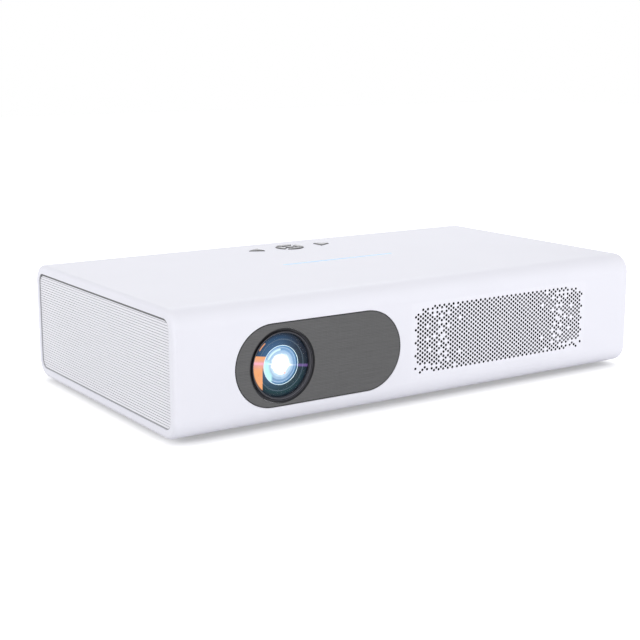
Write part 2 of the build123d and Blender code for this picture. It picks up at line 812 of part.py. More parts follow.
def fan_rotor(size, depth, x, y0, z):
    # A cup over the bearing tube, with tilted blades round it.
    hub = size * fan_hub
    tip = size / 2 - 3.0
    front = y0 + 0.8
    back = y0 + depth - 2.2
    rotor = rod_y(hub, front, back, x, z) - rod_y(hub - 1.2, front + 1.4, back + 1.0, x, z)
    rotor += rod_y(fan_shaft, front + 1.0, y0 + depth - 1.4, x, z)
    chord = (back - front) / math.sin(math.radians(blade_angle)) - 1.6
    span = tip - hub + 1.0
    middle = Pos(0, (front + back) / 2, hub - 0.6 + span / 2)
    blade = middle * Rot(0, 0, blade_angle) * Box(chord, 1.2, span)
    blades = [Pos(x, 0, z) * Rot(0, 360 / blade_count * i, 0) * blade for i in range(blade_count)]
    ring = rod_y(tip, front, back, x, z) - rod_y(hub - 0.6, front - 1.0, back + 1.0, x, z)
    for blade in blades:
        rotor += blade & ring
    return rotor


def light_bar():
    guide = plate_z(Rectangle(bar_length, bar_width), inner_roof, roof, controls_x, 0)
    flange = Rectangle(bar_length + 4.0, bar_width + 4.0)
    return guide + plate_z(flange, inner_roof - 1.2, inner_roof, controls_x, 0)


def top_boards():
    outline = RectangleRounded(2 * (key_side_x + 10.2), 20.0, 1.5)
    board = plate_z(outline, board_z - board_thickness, board_z, controls_x, key_y)
    bodies = [board]
    for x, y in key_stems().values():
        switch = block(x - 2.0, x + 2.0, y - 2.0, y + 2.0, board_z, board_z + switch_height - 0.8)
        switch += rod_z(1.1, board_z, board_z + switch_height, x, y)
        bodies.append(switch)
    top = inner_roof - 1.2
    bodies.append(plate_z(Rectangle(bar_length, 6.0), top - board_thickness, top, controls_x, 0))
    return Compound(children=bodies)


def key(name):
    flange_top = inner_roof - 0.05
    body = plate_z(key_outlines(0)[name], flange_top - 0.5, roof + key_proud, 0, 0)
    crest = body.faces().sort_by(Axis.Z)[-1].edges()
    body = chamfer(crest, 0.4)
    body += plate_z(key_outlines(key_lip)[name], flange_top - 1.0, flange_top, 0, 0)
    x, y = key_stems()[name]
    stem_z = board_z + switch_height + key_travel + 0.05
    return body + rod_z(1.2, stem_z, flange_top - 0.5, x, y)


def drive_case():
    x1 = tray_x1 - 0.4
    top = drive_z1 - drive_sheet
    half = drive_half
    case = block(drive_x0, x1, drive_y - half, drive_y + half, drive_z0, top)
    inner = half - drive_sheet
    cavity_z = drive_z0 + drive_sheet
    case -= block(drive_x0 + drive_sheet, x1 + 1.0, drive_y - inner, drive_y + inner, cavity_z, top + 1.0)
    return case


def drive_cover():
    x1 = tray_x1 - 0.4
    sheet = block(drive_x0, x1, drive_y - drive_half, drive_y + drive_half, drive_z1 - drive_sheet, drive_z1)
    rib = Pos(spindle_x, drive_y, drive_z1) * (Cylinder(20.0, 0.6) - Cylinder(17.0, 0.6))
    return sheet + rib


def drive_brackets():
    # Two steel trestles that stand on the base plate and carry the drive.
    brackets = []
    low = inner_floor
    window = drive_half - 8.0
    for x in (drive_x0 + 10.0, drive_x0 + 95.5):
        plate = block(x, x + 1.5, drive_y - drive_half, drive_y + drive_half, low, drive_z0)
        plate -= block(x - 1.0, x + 2.5, drive_y - window, drive_y + window, low - 1.0, drive_z0 - 6.0)
        for side in (-1, 1):
            y = drive_y + side * (drive_half - 4.0)
            plate += block(x - 8.0, x, y - 4.0, y + 4.0, low, low + 1.5)
            plate += block(x - 8.0, x, y - 4.0, y + 4.0, drive_z0 - 1.5, drive_z0)
        brackets.append(plate)
    return Compound(children=brackets)


def at_spindle(shape):
    # The pickup's parts are drawn along X from the spindle and turned into place.
    return Pos(spindle_x, drive_y, 0) * Rot(0, 0, sled_angle) * shape


def disc_tray():
    x0 = tray_x1 - tray_length
    tray = block(x0, tray_x1, drive_y - tray_half, drive_y + tray_half, tray_z0, tray_z1)
    floor_z = well_z - tray_floor
    side = tray_half - 1.4
    tray -= block(x0 + 1.4, tray_x1 - 3.0, drive_y - side, drive_y + side, tray_z0 - 1.0, floor_z)
    tray -= rod_z(disc_radius + well_gap, well_z, tray_z1 + 1.0, spindle_x, drive_y)
    tray -= rod_z(40.5, well_z - 0.4, tray_z1 + 1.0, spindle_x, drive_y)
    tray -= rod_z(hub_clearance, floor_z - 1.0, tray_z1, spindle_x, drive_y)
    laser_end = sled_inner + sled_travel + sled_lead
    tray -= at_spindle(block(10.0, laser_end, -7.0, 7.0, floor_z - 1.0, well_z + 1.0))
    finger_hole = block(47.0, 55.0, -9.0, 9.0, floor_z - 1.0, tray_z1)
    tray -= [Pos(spindle_x, drive_y, 0) * Rot(0, 0, turn) * finger_hole for turn in (0, 180)]
    return tray


def tray_front():
    y0 = drive_y - drive_half
    y1 = drive_y + drive_half
    front = block(tray_x1, panel_face, y0, y1, drive_z0, drive_z1)
    edges = front.faces().sort_by(Axis.X)[-1].edges()
    front = fillet(edges, 0.6)
    pocket = SlotOverall(button_length + 2 * fit_gap, button_height + 2 * fit_gap)
    return front - plate_x(pocket, panel_face - button_pocket, panel_face + 1.0, button_y, button_z)


def eject_button():
    pill = SlotOverall(button_length, button_height)
    back = panel_face - button_pocket + button_travel + 0.1
    button = plate_x(pill, back, panel_face + 0.5, button_y, button_z)
    return chamfer(button.faces().sort_by(Axis.X)[-1].edges(), 0.3)


def tray_runners():
    x0 = tray_x1 - tray_length + 2.0
    z0 = tray_z0 + 1.2
    near = tray_half + runner_gap
    bar = block(x0, tray_x1 - 1.0, near, near + runner_thickness, z0, z0 + 5.0)
    bar -= block(x0 - 1.0, tray_x1, near - 1.0, near + 0.6, z0 + 1.5, z0 + 3.5)
    return Compound(children=[Pos(0, drive_y, 0) * bar, Pos(0, drive_y, 0) * mirror(bar, about=Plane.XZ)])


def pickup_deck():
    # Steel deck under the tray with end blocks for the two guide rods and the screw.
    x0 = tray_x1 - tray_length + 1.4
    x1 = tray_x1 - 3.0
    side = tray_half - 1.4
    deck = block(x0, x1, drive_y - side, drive_y + side, tray_z0, deck_z)
    deck -= at_spindle(block(rod_start + 2.0, rod_end - 2.0, -9.0, 9.0, tray_z0 - 1.0, deck_z + 1.0))
    half = end_block / 2
    for u in (rod_start, rod_end):
        for v0, v1 in ((-guide_offset - 2.0, -guide_offset + 2.0), (guide_offset - 2.0, screw_offset + 1.8)):
            piece = block(u - half, u + half, v0, v1, deck_z, mech_z + 1.8)
            piece -= rod_x(sled_screw_radius + slide_gap, u - 2.0, u + 2.0, screw_offset, mech_z)
            piece -= [rod_x(guide_radius, u - 2.0, u + 2.0, v, mech_z) for v in (-guide_offset, guide_offset)]
            deck += at_spindle(piece)
    rods = [
        at_spindle(rod_x(guide_radius, rod_start - half, rod_end + half, v, mech_z))
        for v in (-guide_offset, guide_offset)
    ]
    return Compound(children=[deck] + rods)


def pickup_sled():
    u = sled_inner
    u0 = u - sled_back
    u1 = u + sled_lead
    low = mech_z - 1.7
    high = mech_z + 1.7
    body = block(u0, u1, -guide_offset - 2.0, guide_offset + 2.0, low, high)
    body += block(u0 + 2.0, u1 - 2.0, guide_offset, screw_offset + 1.8, low, high)
    body += block(u - 6.0, u + 4.0, -6.0, 6.0, mech_z, well_z - 0.5)
    body += rod_z(2.6, mech_z, well_z + 0.1, u, 0)
    for v in (-guide_offset, guide_offset):
        body -= rod_x(guide_radius + slide_gap, u0 - 1.0, u1 + 1.0, v, mech_z)
    body -= rod_x(sled_screw_radius + slide_gap, u0, u1, screw_offset, mech_z)
    return at_spindle(body)


def sled_screw():
    start = rod_start - end_block / 2 - 1.2
    return at_spindle(rod_x(sled_screw_radius, start, rod_end + 1.0, screw_offset, mech_z))


def drive_motors():
    # The flat spindle motor on the deck and the small motor at the inner end of the sled's screw.
    disc = rod_z(12.8, deck_z, deck_z + 2.4, spindle_x, drive_y)
    disc -= rod_z(spindle_shaft + slide_gap, deck_z + 0.4, deck_z + 3.0, spindle_x, drive_y)
    end = rod_start - end_block / 2
    can = rod_x(sled_motor_radius, end - sled_motor_length, end, screw_offset, mech_z)
    can -= rod_x(sled_screw_radius + slide_gap, end - 1.4, end + 1.0, screw_offset, mech_z)
    start = end - sled_motor_length + 2.0
    foot = block(start, end - 2.0, screw_offset - 1.5, screw_offset + 1.5, deck_z, mech_z - 1.0)
    foot -= rod_x(sled_screw_radius + slide_gap, end - 1.4, end + 1.0, screw_offset, mech_z)
    return Compound(children=[disc, at_spindle(can + foot)])


def turntable():
    z0 = deck_z + 2.6
    rest = well_z + 0.6
    nose = rest + 2.2
    points = [
        (0, deck_z + 0.6),
        (spindle_shaft, deck_z + 0.6),
        (spindle_shaft, z0),
        (12.4, z0),
        (12.4, rest - 0.8),
        (13.2, rest - 0.8),
        (13.2, rest),
        (disc_hole - 0.15, rest),
        (disc_hole - 0.15, nose - 0.9),
        (disc_hole - 1.6, nose),
        (0, nose),
    ]
    table = turned_z(points, spindle_x, drive_y)
    # Two slits on either side of each of the three claws that hold the disc.
    slits = block(4.0, disc_hole, -1.6, -1.1, rest + 0.2, nose)
    slits += block(4.0, disc_hole, 1.1, 1.6, rest + 0.2, nose)
    return table - [Pos(spindle_x, drive_y, 0) * Rot(0, 0, turn) * slits for turn in (0, 120, 240)]


def circuit_board(board, lift, chips):
    # A board with its larger parts: (x, y) of their middle from its corner, width, depth, height.
    x0, x1, y0, y1 = board
    z0 = inner_floor + lift
    z1 = z0 + board_thickness
    bodies = [block(x0, x1, y0, y1, z0, z1)]
    for x, y, width, depth, height in chips:
        left = x0 + x - width / 2
        front = y0 + y - depth / 2
        bodies.append(block(left, left + width, front, front + depth, z1, z1 + height))
    return bodies


def main_circuit():
    chips = [(36, 58, 24, 24, 9), (16, 60, 12, 10, 1.2), (56, 60, 12, 10, 1.2), (38, 18, 16, 16, 1.6)]
    bodies = circuit_board(main_board, main_board_lift, chips)
    x0, y0 = main_board[0], main_board[2]
    capacitors = [rod_z(3.2, socket_z, socket_z + 8.0, x0 + x, y0 + 98.0) for x in (10, 19, 28, 37)]
    return Compound(children=bodies + capacitors)


def power_circuit():
    chips = [(65, 18, 28, 26, 22), (85, 14, 8, 20, 26), (17, 10, 10, 8, 12)]
    bodies = circuit_board(power_board, power_board_lift, chips)
    top = inner_floor + power_board_lift + board_thickness
    capacitor = rod_z(9.0, top, top + 24.0, power_board[0] + 37.0, power_board[2] + 18.0)
    return Compound(children=bodies + [capacitor])


def hdmi_socket():
    width, height = hdmi_size
    z = socket_z + height / 2
    shell = plate_y(Rectangle(width, height), face_y - 12.0, face_y - 0.2, hdmi_x, z)
    shell -= plate_y(Rectangle(width - 0.8, height - 0.8), face_y - 11.0, face_y + 1.0, hdmi_x, z)
    return shell + block(hdmi_x - 5.5, hdmi_x + 5.5, face_y - 11.5, face_y - 4.0, z + 1.6, z + 2.4)


def usb_socket():
    width, height = usb_size
    z = socket_z + height / 2
    shell = plate_y(Rectangle(width, height), face_y - 14.0, face_y - 0.2, usb_x, z)
    shell -= plate_y(Rectangle(width - 1.2, height - 1.2), face_y - 13.0, face_y + 1.0, usb_x, z)
    return shell + block(usb_x - 5.5, usb_x + 5.5, face_y - 13.5, face_y - 4.0, z + 1.4, z + 2.6)


def audio_jacks():
    jacks = []
    half = jack_size / 2
    z = socket_z + half
    for x in jack_x:
        jack = block(x - half, x + half, face_y - 15.0, inner_y - 0.3, z - half, z + half)
        jack += rod_y(jack_nose, inner_y - 0.5, face_y, x, z)
        jacks.append(jack - rod_y(jack_bore, face_y - 14.0, face_y + 1.0, x, z))
    return Compound(children=jacks)


def mains_inlet():
    width, height = inlet_size
    body = plate_y(RectangleRounded(width, height, 1.5), face_y - 18.0, face_y, inlet_x, inlet_z)
    reach = width / 2 + 3.0
    body += block(inlet_x - reach, inlet_x + reach, inner_y - 1.5, inner_y, inlet_z - 5.0, inlet_z + 5.0)
    cavity = SlotOverall(16.8, 8.6)
    body -= plate_y(cavity, face_y - 13.0, face_y + 1.0, inlet_x, inlet_z)
    for side in (-1, 1):
        body += rod_y(1.2, face_y - 13.5, face_y - 2.0, inlet_x + side * 4.3, inlet_z)
    return body


def ir_window():
    disc = rod_y(window_radius, inner_y, face_y, window_x, inlet_z)
    return disc + rod_y(window_radius + 1.6, inner_y - 1.2, inner_y, window_x, inlet_z)


def loudspeaker(side, y, z):
    # Basket with its magnet, and the cone in it; the front rests on the end panel.
    front = panel_back
    r = speaker_radius
    basket = [
        (front, r), (front, r - 2.5), (front - 1.5, r - 2.5), (front - 9.0, 8.0), (front - 9.0, 0),
        (front - speaker_depth, 0), (front - speaker_depth, 12.5), (front - 10.0, 12.5),
        (front - 10.0, 11.0), (front - 2.0, r - 1.0), (front - 2.0, r),
    ]
    cone = [
        (front - 1.2, r - 2.5), (front - 1.8, r - 4.0), (front - 8.2, 5.0), (front - 6.6, 0),
        (front - 5.8, 0), (front - 7.2, 5.0), (front - 0.8, r - 4.0), (front - 0.4, r - 3.2),
        (front - 0.6, r - 2.5),
    ]
    parts = [turned_x([(side * px, pr) for px, pr in points], y, z) for points in (basket, cone)]
    return Compound(children=parts)


def rear_feet():
    feet = []
    for side in (-1, 1):
        foot = rod_z(rear_foot_radius, 0, underside + foot_inset, side * rear_foot_x, rear_foot_y)
        feet.append(fillet(foot.faces().sort_by(Axis.Z)[0].edges(), 0.6))
    return Compound(children=feet)


def brass_inserts():
    # The nut of the front foot, and the thread in the base for a tripod.
    neck_z = pad_thickness + 0.1 + foot_wheel + 0.4
    nut = rod_z(stud_radius + 1.6, neck_z, neck_z + insert_length, 0, foot_y)
    nut -= rod_z(stud_radius + slide_gap, neck_z - 1.0, neck_z + insert_length + 1.0, 0, foot_y)
    bush = rod_z(bush_bore + 2.2, underside, underside + bush_length, 0, bush_y)
    bush -= rod_z(bush_bore, underside - 1.0, underside + bush_length + 1.0, 0, bush_y)
    return Compound(children=[nut, bush])


def foot_pad():
    pad = rod_z(foot_radius - 0.6, 0, pad_thickness, 0, foot_y)
    pad = fillet(pad.faces().sort_by(Axis.Z)[0].edges(), 0.5)
    return pad + rod_z(1.5, pad_thickness - 0.5, pad_thickness + 3.0, 0, foot_y)


def foot_screw():
    z0 = pad_thickness + 0.1
    wheel = rod_z(foot_radius, z0, z0 + foot_wheel, 0, foot_y)
    flutes = 24
    for i in range(flutes):
        turn = 2 * math.pi * i / flutes
        x = (foot_radius + 0.45) * math.cos(turn)
        y = (foot_radius + 0.45) * math.sin(turn)
        wheel -= rod_z(0.8, z0 - 1.0, z0 + foot_wheel + 1.0, x, foot_y + y)
    stud = rod_z(stud_radius, z0, z0 + foot_wheel + 0.4 + insert_length + foot_travel, 0, foot_y)
    return wheel + stud - rod_z(1.5 + slide_gap, z0 - 1.0, z0 + 3.2, 0, foot_y)


pieces = {
    "main_shell": main_shell(),
    "base_plate": base_plate(),
    "case_screws": case_screws(),
    "left_grille": left_grille(),
    "right_panel": right_panel(),
    "front_vent_grille": front_vent_grille(),
    "lens_trim": lens_trim(),
    "lens_bezel": lens_bezel(),
    "light_bar": light_bar(),
    "ir_window": ir_window(),
    "brass_inserts": brass_inserts(),
    "rear_feet": rear_feet(),
    "foot_pad": foot_pad(),
    "foot_screw": foot_screw(),
    "top_boards": top_boards(),
    "lens_tube": lens_tube(),
    "lens_barrel": lens_barrel(),
    "lens_elements": lens_elements(),
    "focus_motor": focus_motor(),
    "focus_screw": focus_screw(),
    "engine_housing": engine_housing(),
    "engine_lid": engine_lid(),
    "fold_mirror": fold_mirror(),
    "field_lenses": field_lenses(),
    "lcd_panel": lcd_panel(),
    "condenser_lens": condenser_lens(),
    "lamp_module": lamp_module(),
    "heat_sink": heat_sink(),
    "exhaust_fan_frame": fan_frame(exhaust_size, exhaust_depth, exhaust_x, exhaust_y, exhaust_z),
    "exhaust_fan_rotor": fan_rotor(exhaust_size, exhaust_depth, exhaust_x, exhaust_y, exhaust_z),
    "intake_fan_frame": fan_frame(intake_size, intake_depth, intake_x, intake_y, intake_z),
    "intake_fan_rotor": fan_rotor(intake_size, intake_depth, intake_x, intake_y, intake_z),
    "main_board": main_circuit(),
    "power_board": power_circuit(),
    "hdmi_socket": hdmi_socket(),
    "usb_socket": usb_socket(),
    "audio_jacks": audio_jacks(),
    "mains_inlet": mains_inlet(),
    "left_speaker": loudspeaker(-1, left_speaker_y, middle_z),
    "right_speaker": loudspeaker(1, right_speaker_y, right_speaker_z),
    "drive_case": drive_case(),
    "drive_cover": drive_cover(),
    "drive_brackets": drive_brackets(),
    "disc_tray": disc_tray(),
    "tray_front": tray_front(),
    "eject_button": eject_button(),
    "tray_runners": tray_runners(),
    "pickup_deck": pickup_deck(),
    "pickup_sled": pickup_sled(),
    "sled_screw": sled_screw(),
    "drive_motors": drive_motors(),
    "turntable": turntable(),
}
for name in key_stems():
    pieces[name] = key(name)

os.makedirs("parts", exist_ok=True)
for name, shape in pieces.items():
    export_step(shape, f"parts/{name}.step")
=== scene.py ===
import json
import math
import bpy
import bmesh
import numpy as np
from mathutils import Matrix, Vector


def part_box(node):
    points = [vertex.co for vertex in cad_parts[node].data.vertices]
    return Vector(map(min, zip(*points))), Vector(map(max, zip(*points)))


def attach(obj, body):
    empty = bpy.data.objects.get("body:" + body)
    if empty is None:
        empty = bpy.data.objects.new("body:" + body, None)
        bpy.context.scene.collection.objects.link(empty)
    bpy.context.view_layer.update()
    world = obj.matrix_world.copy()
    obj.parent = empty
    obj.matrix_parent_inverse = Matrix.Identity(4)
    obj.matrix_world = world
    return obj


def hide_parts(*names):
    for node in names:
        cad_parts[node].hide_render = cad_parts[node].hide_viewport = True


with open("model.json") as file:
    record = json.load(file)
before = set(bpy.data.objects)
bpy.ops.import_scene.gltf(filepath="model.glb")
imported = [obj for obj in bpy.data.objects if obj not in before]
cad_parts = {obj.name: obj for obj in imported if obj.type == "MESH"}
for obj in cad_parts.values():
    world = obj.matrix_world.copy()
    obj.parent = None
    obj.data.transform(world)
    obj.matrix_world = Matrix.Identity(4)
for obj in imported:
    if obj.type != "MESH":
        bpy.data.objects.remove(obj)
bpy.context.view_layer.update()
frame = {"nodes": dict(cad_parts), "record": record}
nodes = frame["nodes"]
print("frame loaded:", len(nodes), "nodes")

# The camera of the photograph: it stands to the left of the front and looks a little down.
shot = dict(azimuth=33.82, elevation=11.80, distance=0.8570, aim=(-0.01375, 0.0, 0.03584), lens=74.61)


def placeCamera(shot):
    turn, tip = math.radians(shot["azimuth"]), math.radians(shot["elevation"])
    ahead = Vector((math.sin(turn) * math.cos(tip), math.cos(turn) * math.cos(tip), -math.sin(tip)))
    data = bpy.data.cameras.new("photoCamera")
    data.lens = shot["lens"]
    data.sensor_width = 36.0
    data.clip_start, data.clip_end = 0.01, 20.0
    camera = bpy.data.objects.new("photoCamera", data)
    bpy.context.scene.collection.objects.link(camera)
    camera.location = Vector(shot["aim"]) - ahead * shot["distance"]
    camera.rotation_mode = "QUATERNION"
    camera.rotation_quaternion = ahead.to_track_quat("-Z", "Y")
    bpy.context.scene.camera = camera


placeCamera(shot)


class Val:
    # One output socket; the operators add Math nodes for it.
    def __init__(self, graph, socket):
        self.graph, self.socket = graph, socket

    def op(self, kind, *others):
        return self.graph.add("ShaderNodeMath", {"operation": kind}, dict(enumerate((self,) + others)))

    def __add__(self, other): return self.op("ADD", other)
    def __radd__(self, other): return self.op("ADD", other)
    def __mul__(self, other): return self.op("MULTIPLY", other)
    def __rmul__(self, other): return self.op("MULTIPLY", other)
    def __sub__(self, other): return self.op("SUBTRACT", other)
    def __rsub__(self, other): return (self * -1.0) + other
    def __abs__(self): return self.op("ABSOLUTE")
    def __gt__(self, other): return self.op("GREATER_THAN", other)
    def __lt__(self, other): return self.op("LESS_THAN", other)
    def most(self, other): return self.op("MAXIMUM", other)
    def wave(self): return self.op("SINE")
    def root(self): return self.op("SQRT")


class Graph:
    # The nodes of one material. add() takes a node's type, its settings and its inputs.
    def __init__(self, tree):
        self.tree = tree
        tree.nodes.clear()

    def add(self, kind, settings=None, inputs=None, out=0):
        node = self.tree.nodes.new(kind)
        for key, value in (settings or {}).items():
            if key == "stops":
                ramp = node.color_ramp
                while len(ramp.elements) < len(value):
                    ramp.elements.new(0.5)
                for element, (place, colour) in zip(ramp.elements, value):
                    element.position, element.color = place, (*colour, 1.0)
            else:
                setattr(node, key, value)
        for key, value in (inputs or {}).items():
            if isinstance(value, Val):
                self.tree.links.new(value.socket, node.inputs[key])
            else:
                node.inputs[key].default_value = value
        return Val(self, node.outputs[out]) if node.outputs else node

    def place(self, centre=(0, 0, 0), scale=(1, 1, 1)):
        spot = self.add("ShaderNodeTexCoord", out=3)
        if centre == (0, 0, 0) and scale == (1, 1, 1):
            return spot
        return self.add("ShaderNodeMapping", {"vector_type": "POINT"}, {
            "Vector": spot, "Location": tuple(-c * s for c, s in zip(centre, scale)), "Scale": scale})

    def split(self, vector):
        node = self.tree.nodes.new("ShaderNodeSeparateXYZ")
        self.tree.links.new(vector.socket, node.inputs[0])
        return [Val(self, out) for out in node.outputs]

    def looked(self):
        # 1 where the camera looks, straight or by way of a mirror or glass.
        ray = self.tree.nodes.new("ShaderNodeLightPath")
        seen = Val(self, ray.outputs["Is Camera Ray"]).most(Val(self, ray.outputs["Is Glossy Ray"]))
        return seen.most(Val(self, ray.outputs["Is Transmission Ray"]))

    def noise(self, vector, scale, detail=2.0, rough=0.5):
        return self.add("ShaderNodeTexNoise", None, {
            "Vector": vector, "Scale": scale, "Detail": detail, "Roughness": rough})

    def cells(self, vector, scale, out=0):
        return self.add("ShaderNodeTexVoronoi", None, {"Vector": vector, "Scale": scale}, out)

    def rise(self, value, low, high, start=0.0, end=1.0):
        return self.add("ShaderNodeMapRange", {"interpolation_type": "SMOOTHSTEP"}, {
            "Value": value, "From Min": low, "From Max": high, "To Min": start, "To Max": end})

    def mix(self, part, first, second, kind="MIX"):
        def colour(c):
            return c if isinstance(c, Val) else (*c, 1.0)
        return self.add("ShaderNodeMix", {"data_type": "RGBA", "blend_type": kind}, {
            0: part, 6: colour(first), 7: colour(second)}, out=2)

    def bump(self, height, strength, depth):
        return self.add("ShaderNodeBump", None, {"Height": height, "Strength": strength, "Distance": depth})

    def shader(self, **sockets):
        inputs = {}
        for key, value in sockets.items():
            name = {"BaseColor": "Base Color", "Coat": "Coat Weight", "CoatRough": "Coat Roughness",
                    "Glow": "Emission Color", "GlowStrength": "Emission Strength",
                    "Specular": "Specular IOR Level", "Sheen": "Sheen Weight"}.get(key, key)
            if name in ("Base Color", "Emission Color") and not isinstance(value, Val):
                value = (*value, 1.0)
            inputs[name] = value
        surface = self.add("ShaderNodeBsdfPrincipled", None, inputs)
        self.add("ShaderNodeOutputMaterial", None, {"Surface": surface})


def finish(name, paint, **look):
    material = bpy.data.materials.new(name)
    material.use_nodes = True
    paint(Graph(material.node_tree), **look)
    return material


def centreOf(node):
    low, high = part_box(node)
    return (low + high) / 2


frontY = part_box("lens_trim")[0].y
lensX, lensZ = centreOf("lens_bezel").x, centreOf("lens_bezel").z
trimX, trimZ = centreOf("lens_trim").x, centreOf("lens_trim").z
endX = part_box("main_shell")[1].x


# Finishes. A length is in metres, so a scale of 1000 gives a grain of about a millimetre.
def moulded(g, colour, rough=0.4, grain=2600, depth=0.00003, drift=0.03, specular=0.5):
    # Spark-eroded plastic: fine pits, slow drift in colour and gloss.
    spot = g.place()
    pits = g.noise(spot, grain, 3.0, 0.6)
    slow = g.noise(spot, 22.0, 2.0)
    dark = tuple(c * (1 - drift) for c in colour)
    shade = g.mix(slow, dark, colour)
    g.shader(BaseColor=shade, Roughness=pits * 0.10 + (rough - 0.05) + slow * 0.04,
             Normal=g.bump(pits, 0.35, depth), Specular=specular)


def ribbedWhite(g, colour, recessShade, pitch, rough, specular):
    # White ribs with painted shade that darkens them towards their grooves; one rib stands at the panel's middle
    # height.
    x, y, z = g.split(g.place((0, 0, centreOf("left_grille").z)))
    pits = g.noise(g.place(), 2200.0, 3.0, 0.6)
    grooveShade = g.rise((z * (2 * math.pi / pitch) - math.pi / 2).wave(), -0.2, 1.0)
    g.shader(BaseColor=g.mix(grooveShade * 0.6, g.mix(pits * 0.1, colour, tuple(c * 0.94 for c in colour)), recessShade),
             Roughness=pits * 0.10 + rough, Normal=g.bump(pits, 0.35, 0.00003), Specular=specular)


def linen(g, colour, radius, half, line):
    # The grey panel round the lens: a fine level weave under a satin lacquer, with painted shade: a dark line along
    # its edge for the gap round it, its faces set back from the front darkened, and the whole panel darker to the
    # right of the lens.
    x, y, z = g.split(g.place())
    past, up = (abs(x - trimX) - half).most(0.0), z - trimZ
    rim = (past * past + up * up).root()
    level = g.noise(g.place(scale=(60, 1, 2100)), 1.0, 3.0, 0.55)
    upright = g.noise(g.place(scale=(1500, 1, 130)), 1.0, 2.0, 0.5)
    threads = (z * (2 * math.pi / 0.00085)).wave() * 0.5 + 0.5
    cloth = level * 0.62 + upright * 0.20 + threads * 0.18
    # Painted shade: the panel darker to the right of the lens.
    rightShade = g.rise(x, lensX - 0.01, lensX + 0.08)
    low = g.mix(rightShade, tuple(c * 0.86 for c in colour), tuple(c * 0.80 for c in colour))
    high = g.mix(rightShade, tuple(c * 1.20 for c in colour), tuple(c * 1.10 for c in colour))
    shade = g.mix(g.rise(cloth, 0.30, 0.68), low, high)
    # Painted shade: a dark line for the gap round the panel, and darker faces behind its front.
    edge = g.rise(rim, radius - line, radius - line * 0.4).most(g.rise(y - frontY, 0.00002, 0.0004))
    g.shader(BaseColor=g.mix(edge, shade, (0.006, 0.006, 0.008)), Roughness=level * 0.16 + 0.40, Metallic=0.15,
             Normal=g.bump(cloth, 0.5, 0.00008))


def turnedBlack(g, colour, centre, pitch=0.0007):
    # A turned or moulded ring with fine rings round the lens axis; painted light makes its lower part lighter, and
    # painted shade darkens a thin ring near its outer edge and the outermost edge.
    x, y, z = g.split(g.place(centre))
    around = (x * x + z * z).root()
    rings = (around * (2 * math.pi / pitch)).wave() * 0.5 + 0.5
    dust = g.noise(g.place(), 1800.0, 3.0)
    # Painted light: lighter towards the bottom.
    lowerLight = g.rise(z, -0.021, 0.004, 1.0, 0.0)
    # Painted shade: a dark thin ring near the outer edge, and the outermost edge dark.
    lipShade = (1 - g.rise(abs(around - 0.0204), 0.0002, 0.0005)).most(g.rise(around, 0.0207, 0.0209))
    tone = g.mix(lowerLight, colour, tuple(c * 1.5 for c in colour))
    tone = g.mix(lipShade, tone, (0.008, 0.008, 0.010))
    g.shader(BaseColor=g.mix(dust * 0.5, tone, tuple(c * 0.6 for c in colour)), Roughness=rings * 0.12 + 0.34,
             Normal=g.bump(rings * 0.6 + dust * 0.4, 0.35, 0.00006))


def metal(g, colour, rough=0.3, along=(1, 1, 1), grain=1.0, metallic=1.0, wear=0.12, depth=0.00002):
    # Drawn or rolled metal: long fine streaks along one axis, with a little tarnish.
    streak = g.noise(g.place(scale=along), grain, 4.0, 0.65)
    tarnish = g.noise(g.place(), 90.0, 3.0, 0.6)
    shade = g.mix(g.rise(tarnish, 0.35, 0.75) * wear * 4.0, colour, tuple(c * 0.62 for c in colour))
    g.shader(BaseColor=shade, Metallic=metallic, Roughness=streak * 0.22 + (rough - 0.1),
             Normal=g.bump(streak, 0.3, depth))


def rubber(g, colour):
    spot = g.place()
    grains = g.cells(spot, 1700.0)
    dust = g.noise(spot, 400.0, 4.0, 0.7)
    g.shader(BaseColor=g.mix(g.rise(dust, 0.45, 0.8), colour, tuple(c * 2.4 for c in colour)),
             Roughness=dust * 0.2 + 0.65, Normal=g.bump(grains, 0.4, 0.00008), Sheen=0.1)


def boardLook(g, colour, top):
    # Solder mask with copper tracks beneath and tinned pads; what stands on the board is dark.
    spot = g.place()
    x, y, z = g.split(spot)
    bend = g.noise(spot, 60.0, 1.0) * 0.004
    tracks = abs(((x + bend) * (2 * math.pi / 0.0026)).wave())
    crossing = abs(((y - bend) * (2 * math.pi / 0.0031)).wave())
    areas = g.rise(g.noise(spot, 70.0, 0.0), 0.47, 0.50)
    copper = g.mix(areas, g.mix(tracks > 0.72, colour, (0.05, 0.30, 0.12)),
                   g.mix(crossing > 0.72, colour, (0.05, 0.30, 0.12)))
    pads = g.cells(spot, 330.0) < 0.24
    pads = pads * (g.noise(spot, 120.0, 0.0) > 0.5)
    face = g.mix(pads, copper, (0.72, 0.70, 0.64))
    standing = z > (top + 0.00008)
    body = g.mix(g.cells(g.place(scale=(1, 1, 0)), 60.0, out=1), (0.018, 0.018, 0.02), (0.05, 0.055, 0.07))
    g.shader(BaseColor=g.mix(standing, face, body), Metallic=pads * (1 - standing) * 0.9,
             Roughness=0.30 + standing * 0.2, Normal=g.bump(tracks * areas, 0.2, 0.00004))


def glow(g, colour, pale, far):
    # The light bar: frosted light guide, a little weaker towards its ends.
    x, y, z = g.split(g.place(tuple(centreOf("light_bar"))))
    ends = g.rise(abs(x), far * 0.55, far, 1.0, 0.6)
    frost = g.noise(g.place(), 2200.0, 2.0)
    g.shader(BaseColor=(0.06, 0.13, 0.20), Glow=g.mix(ends, pale, g.mix(frost * 0.3, colour, pale)), GlowStrength=0.9,
             Roughness=frost * 0.2 + 0.35, Coat=0.3, CoatRough=0.2)


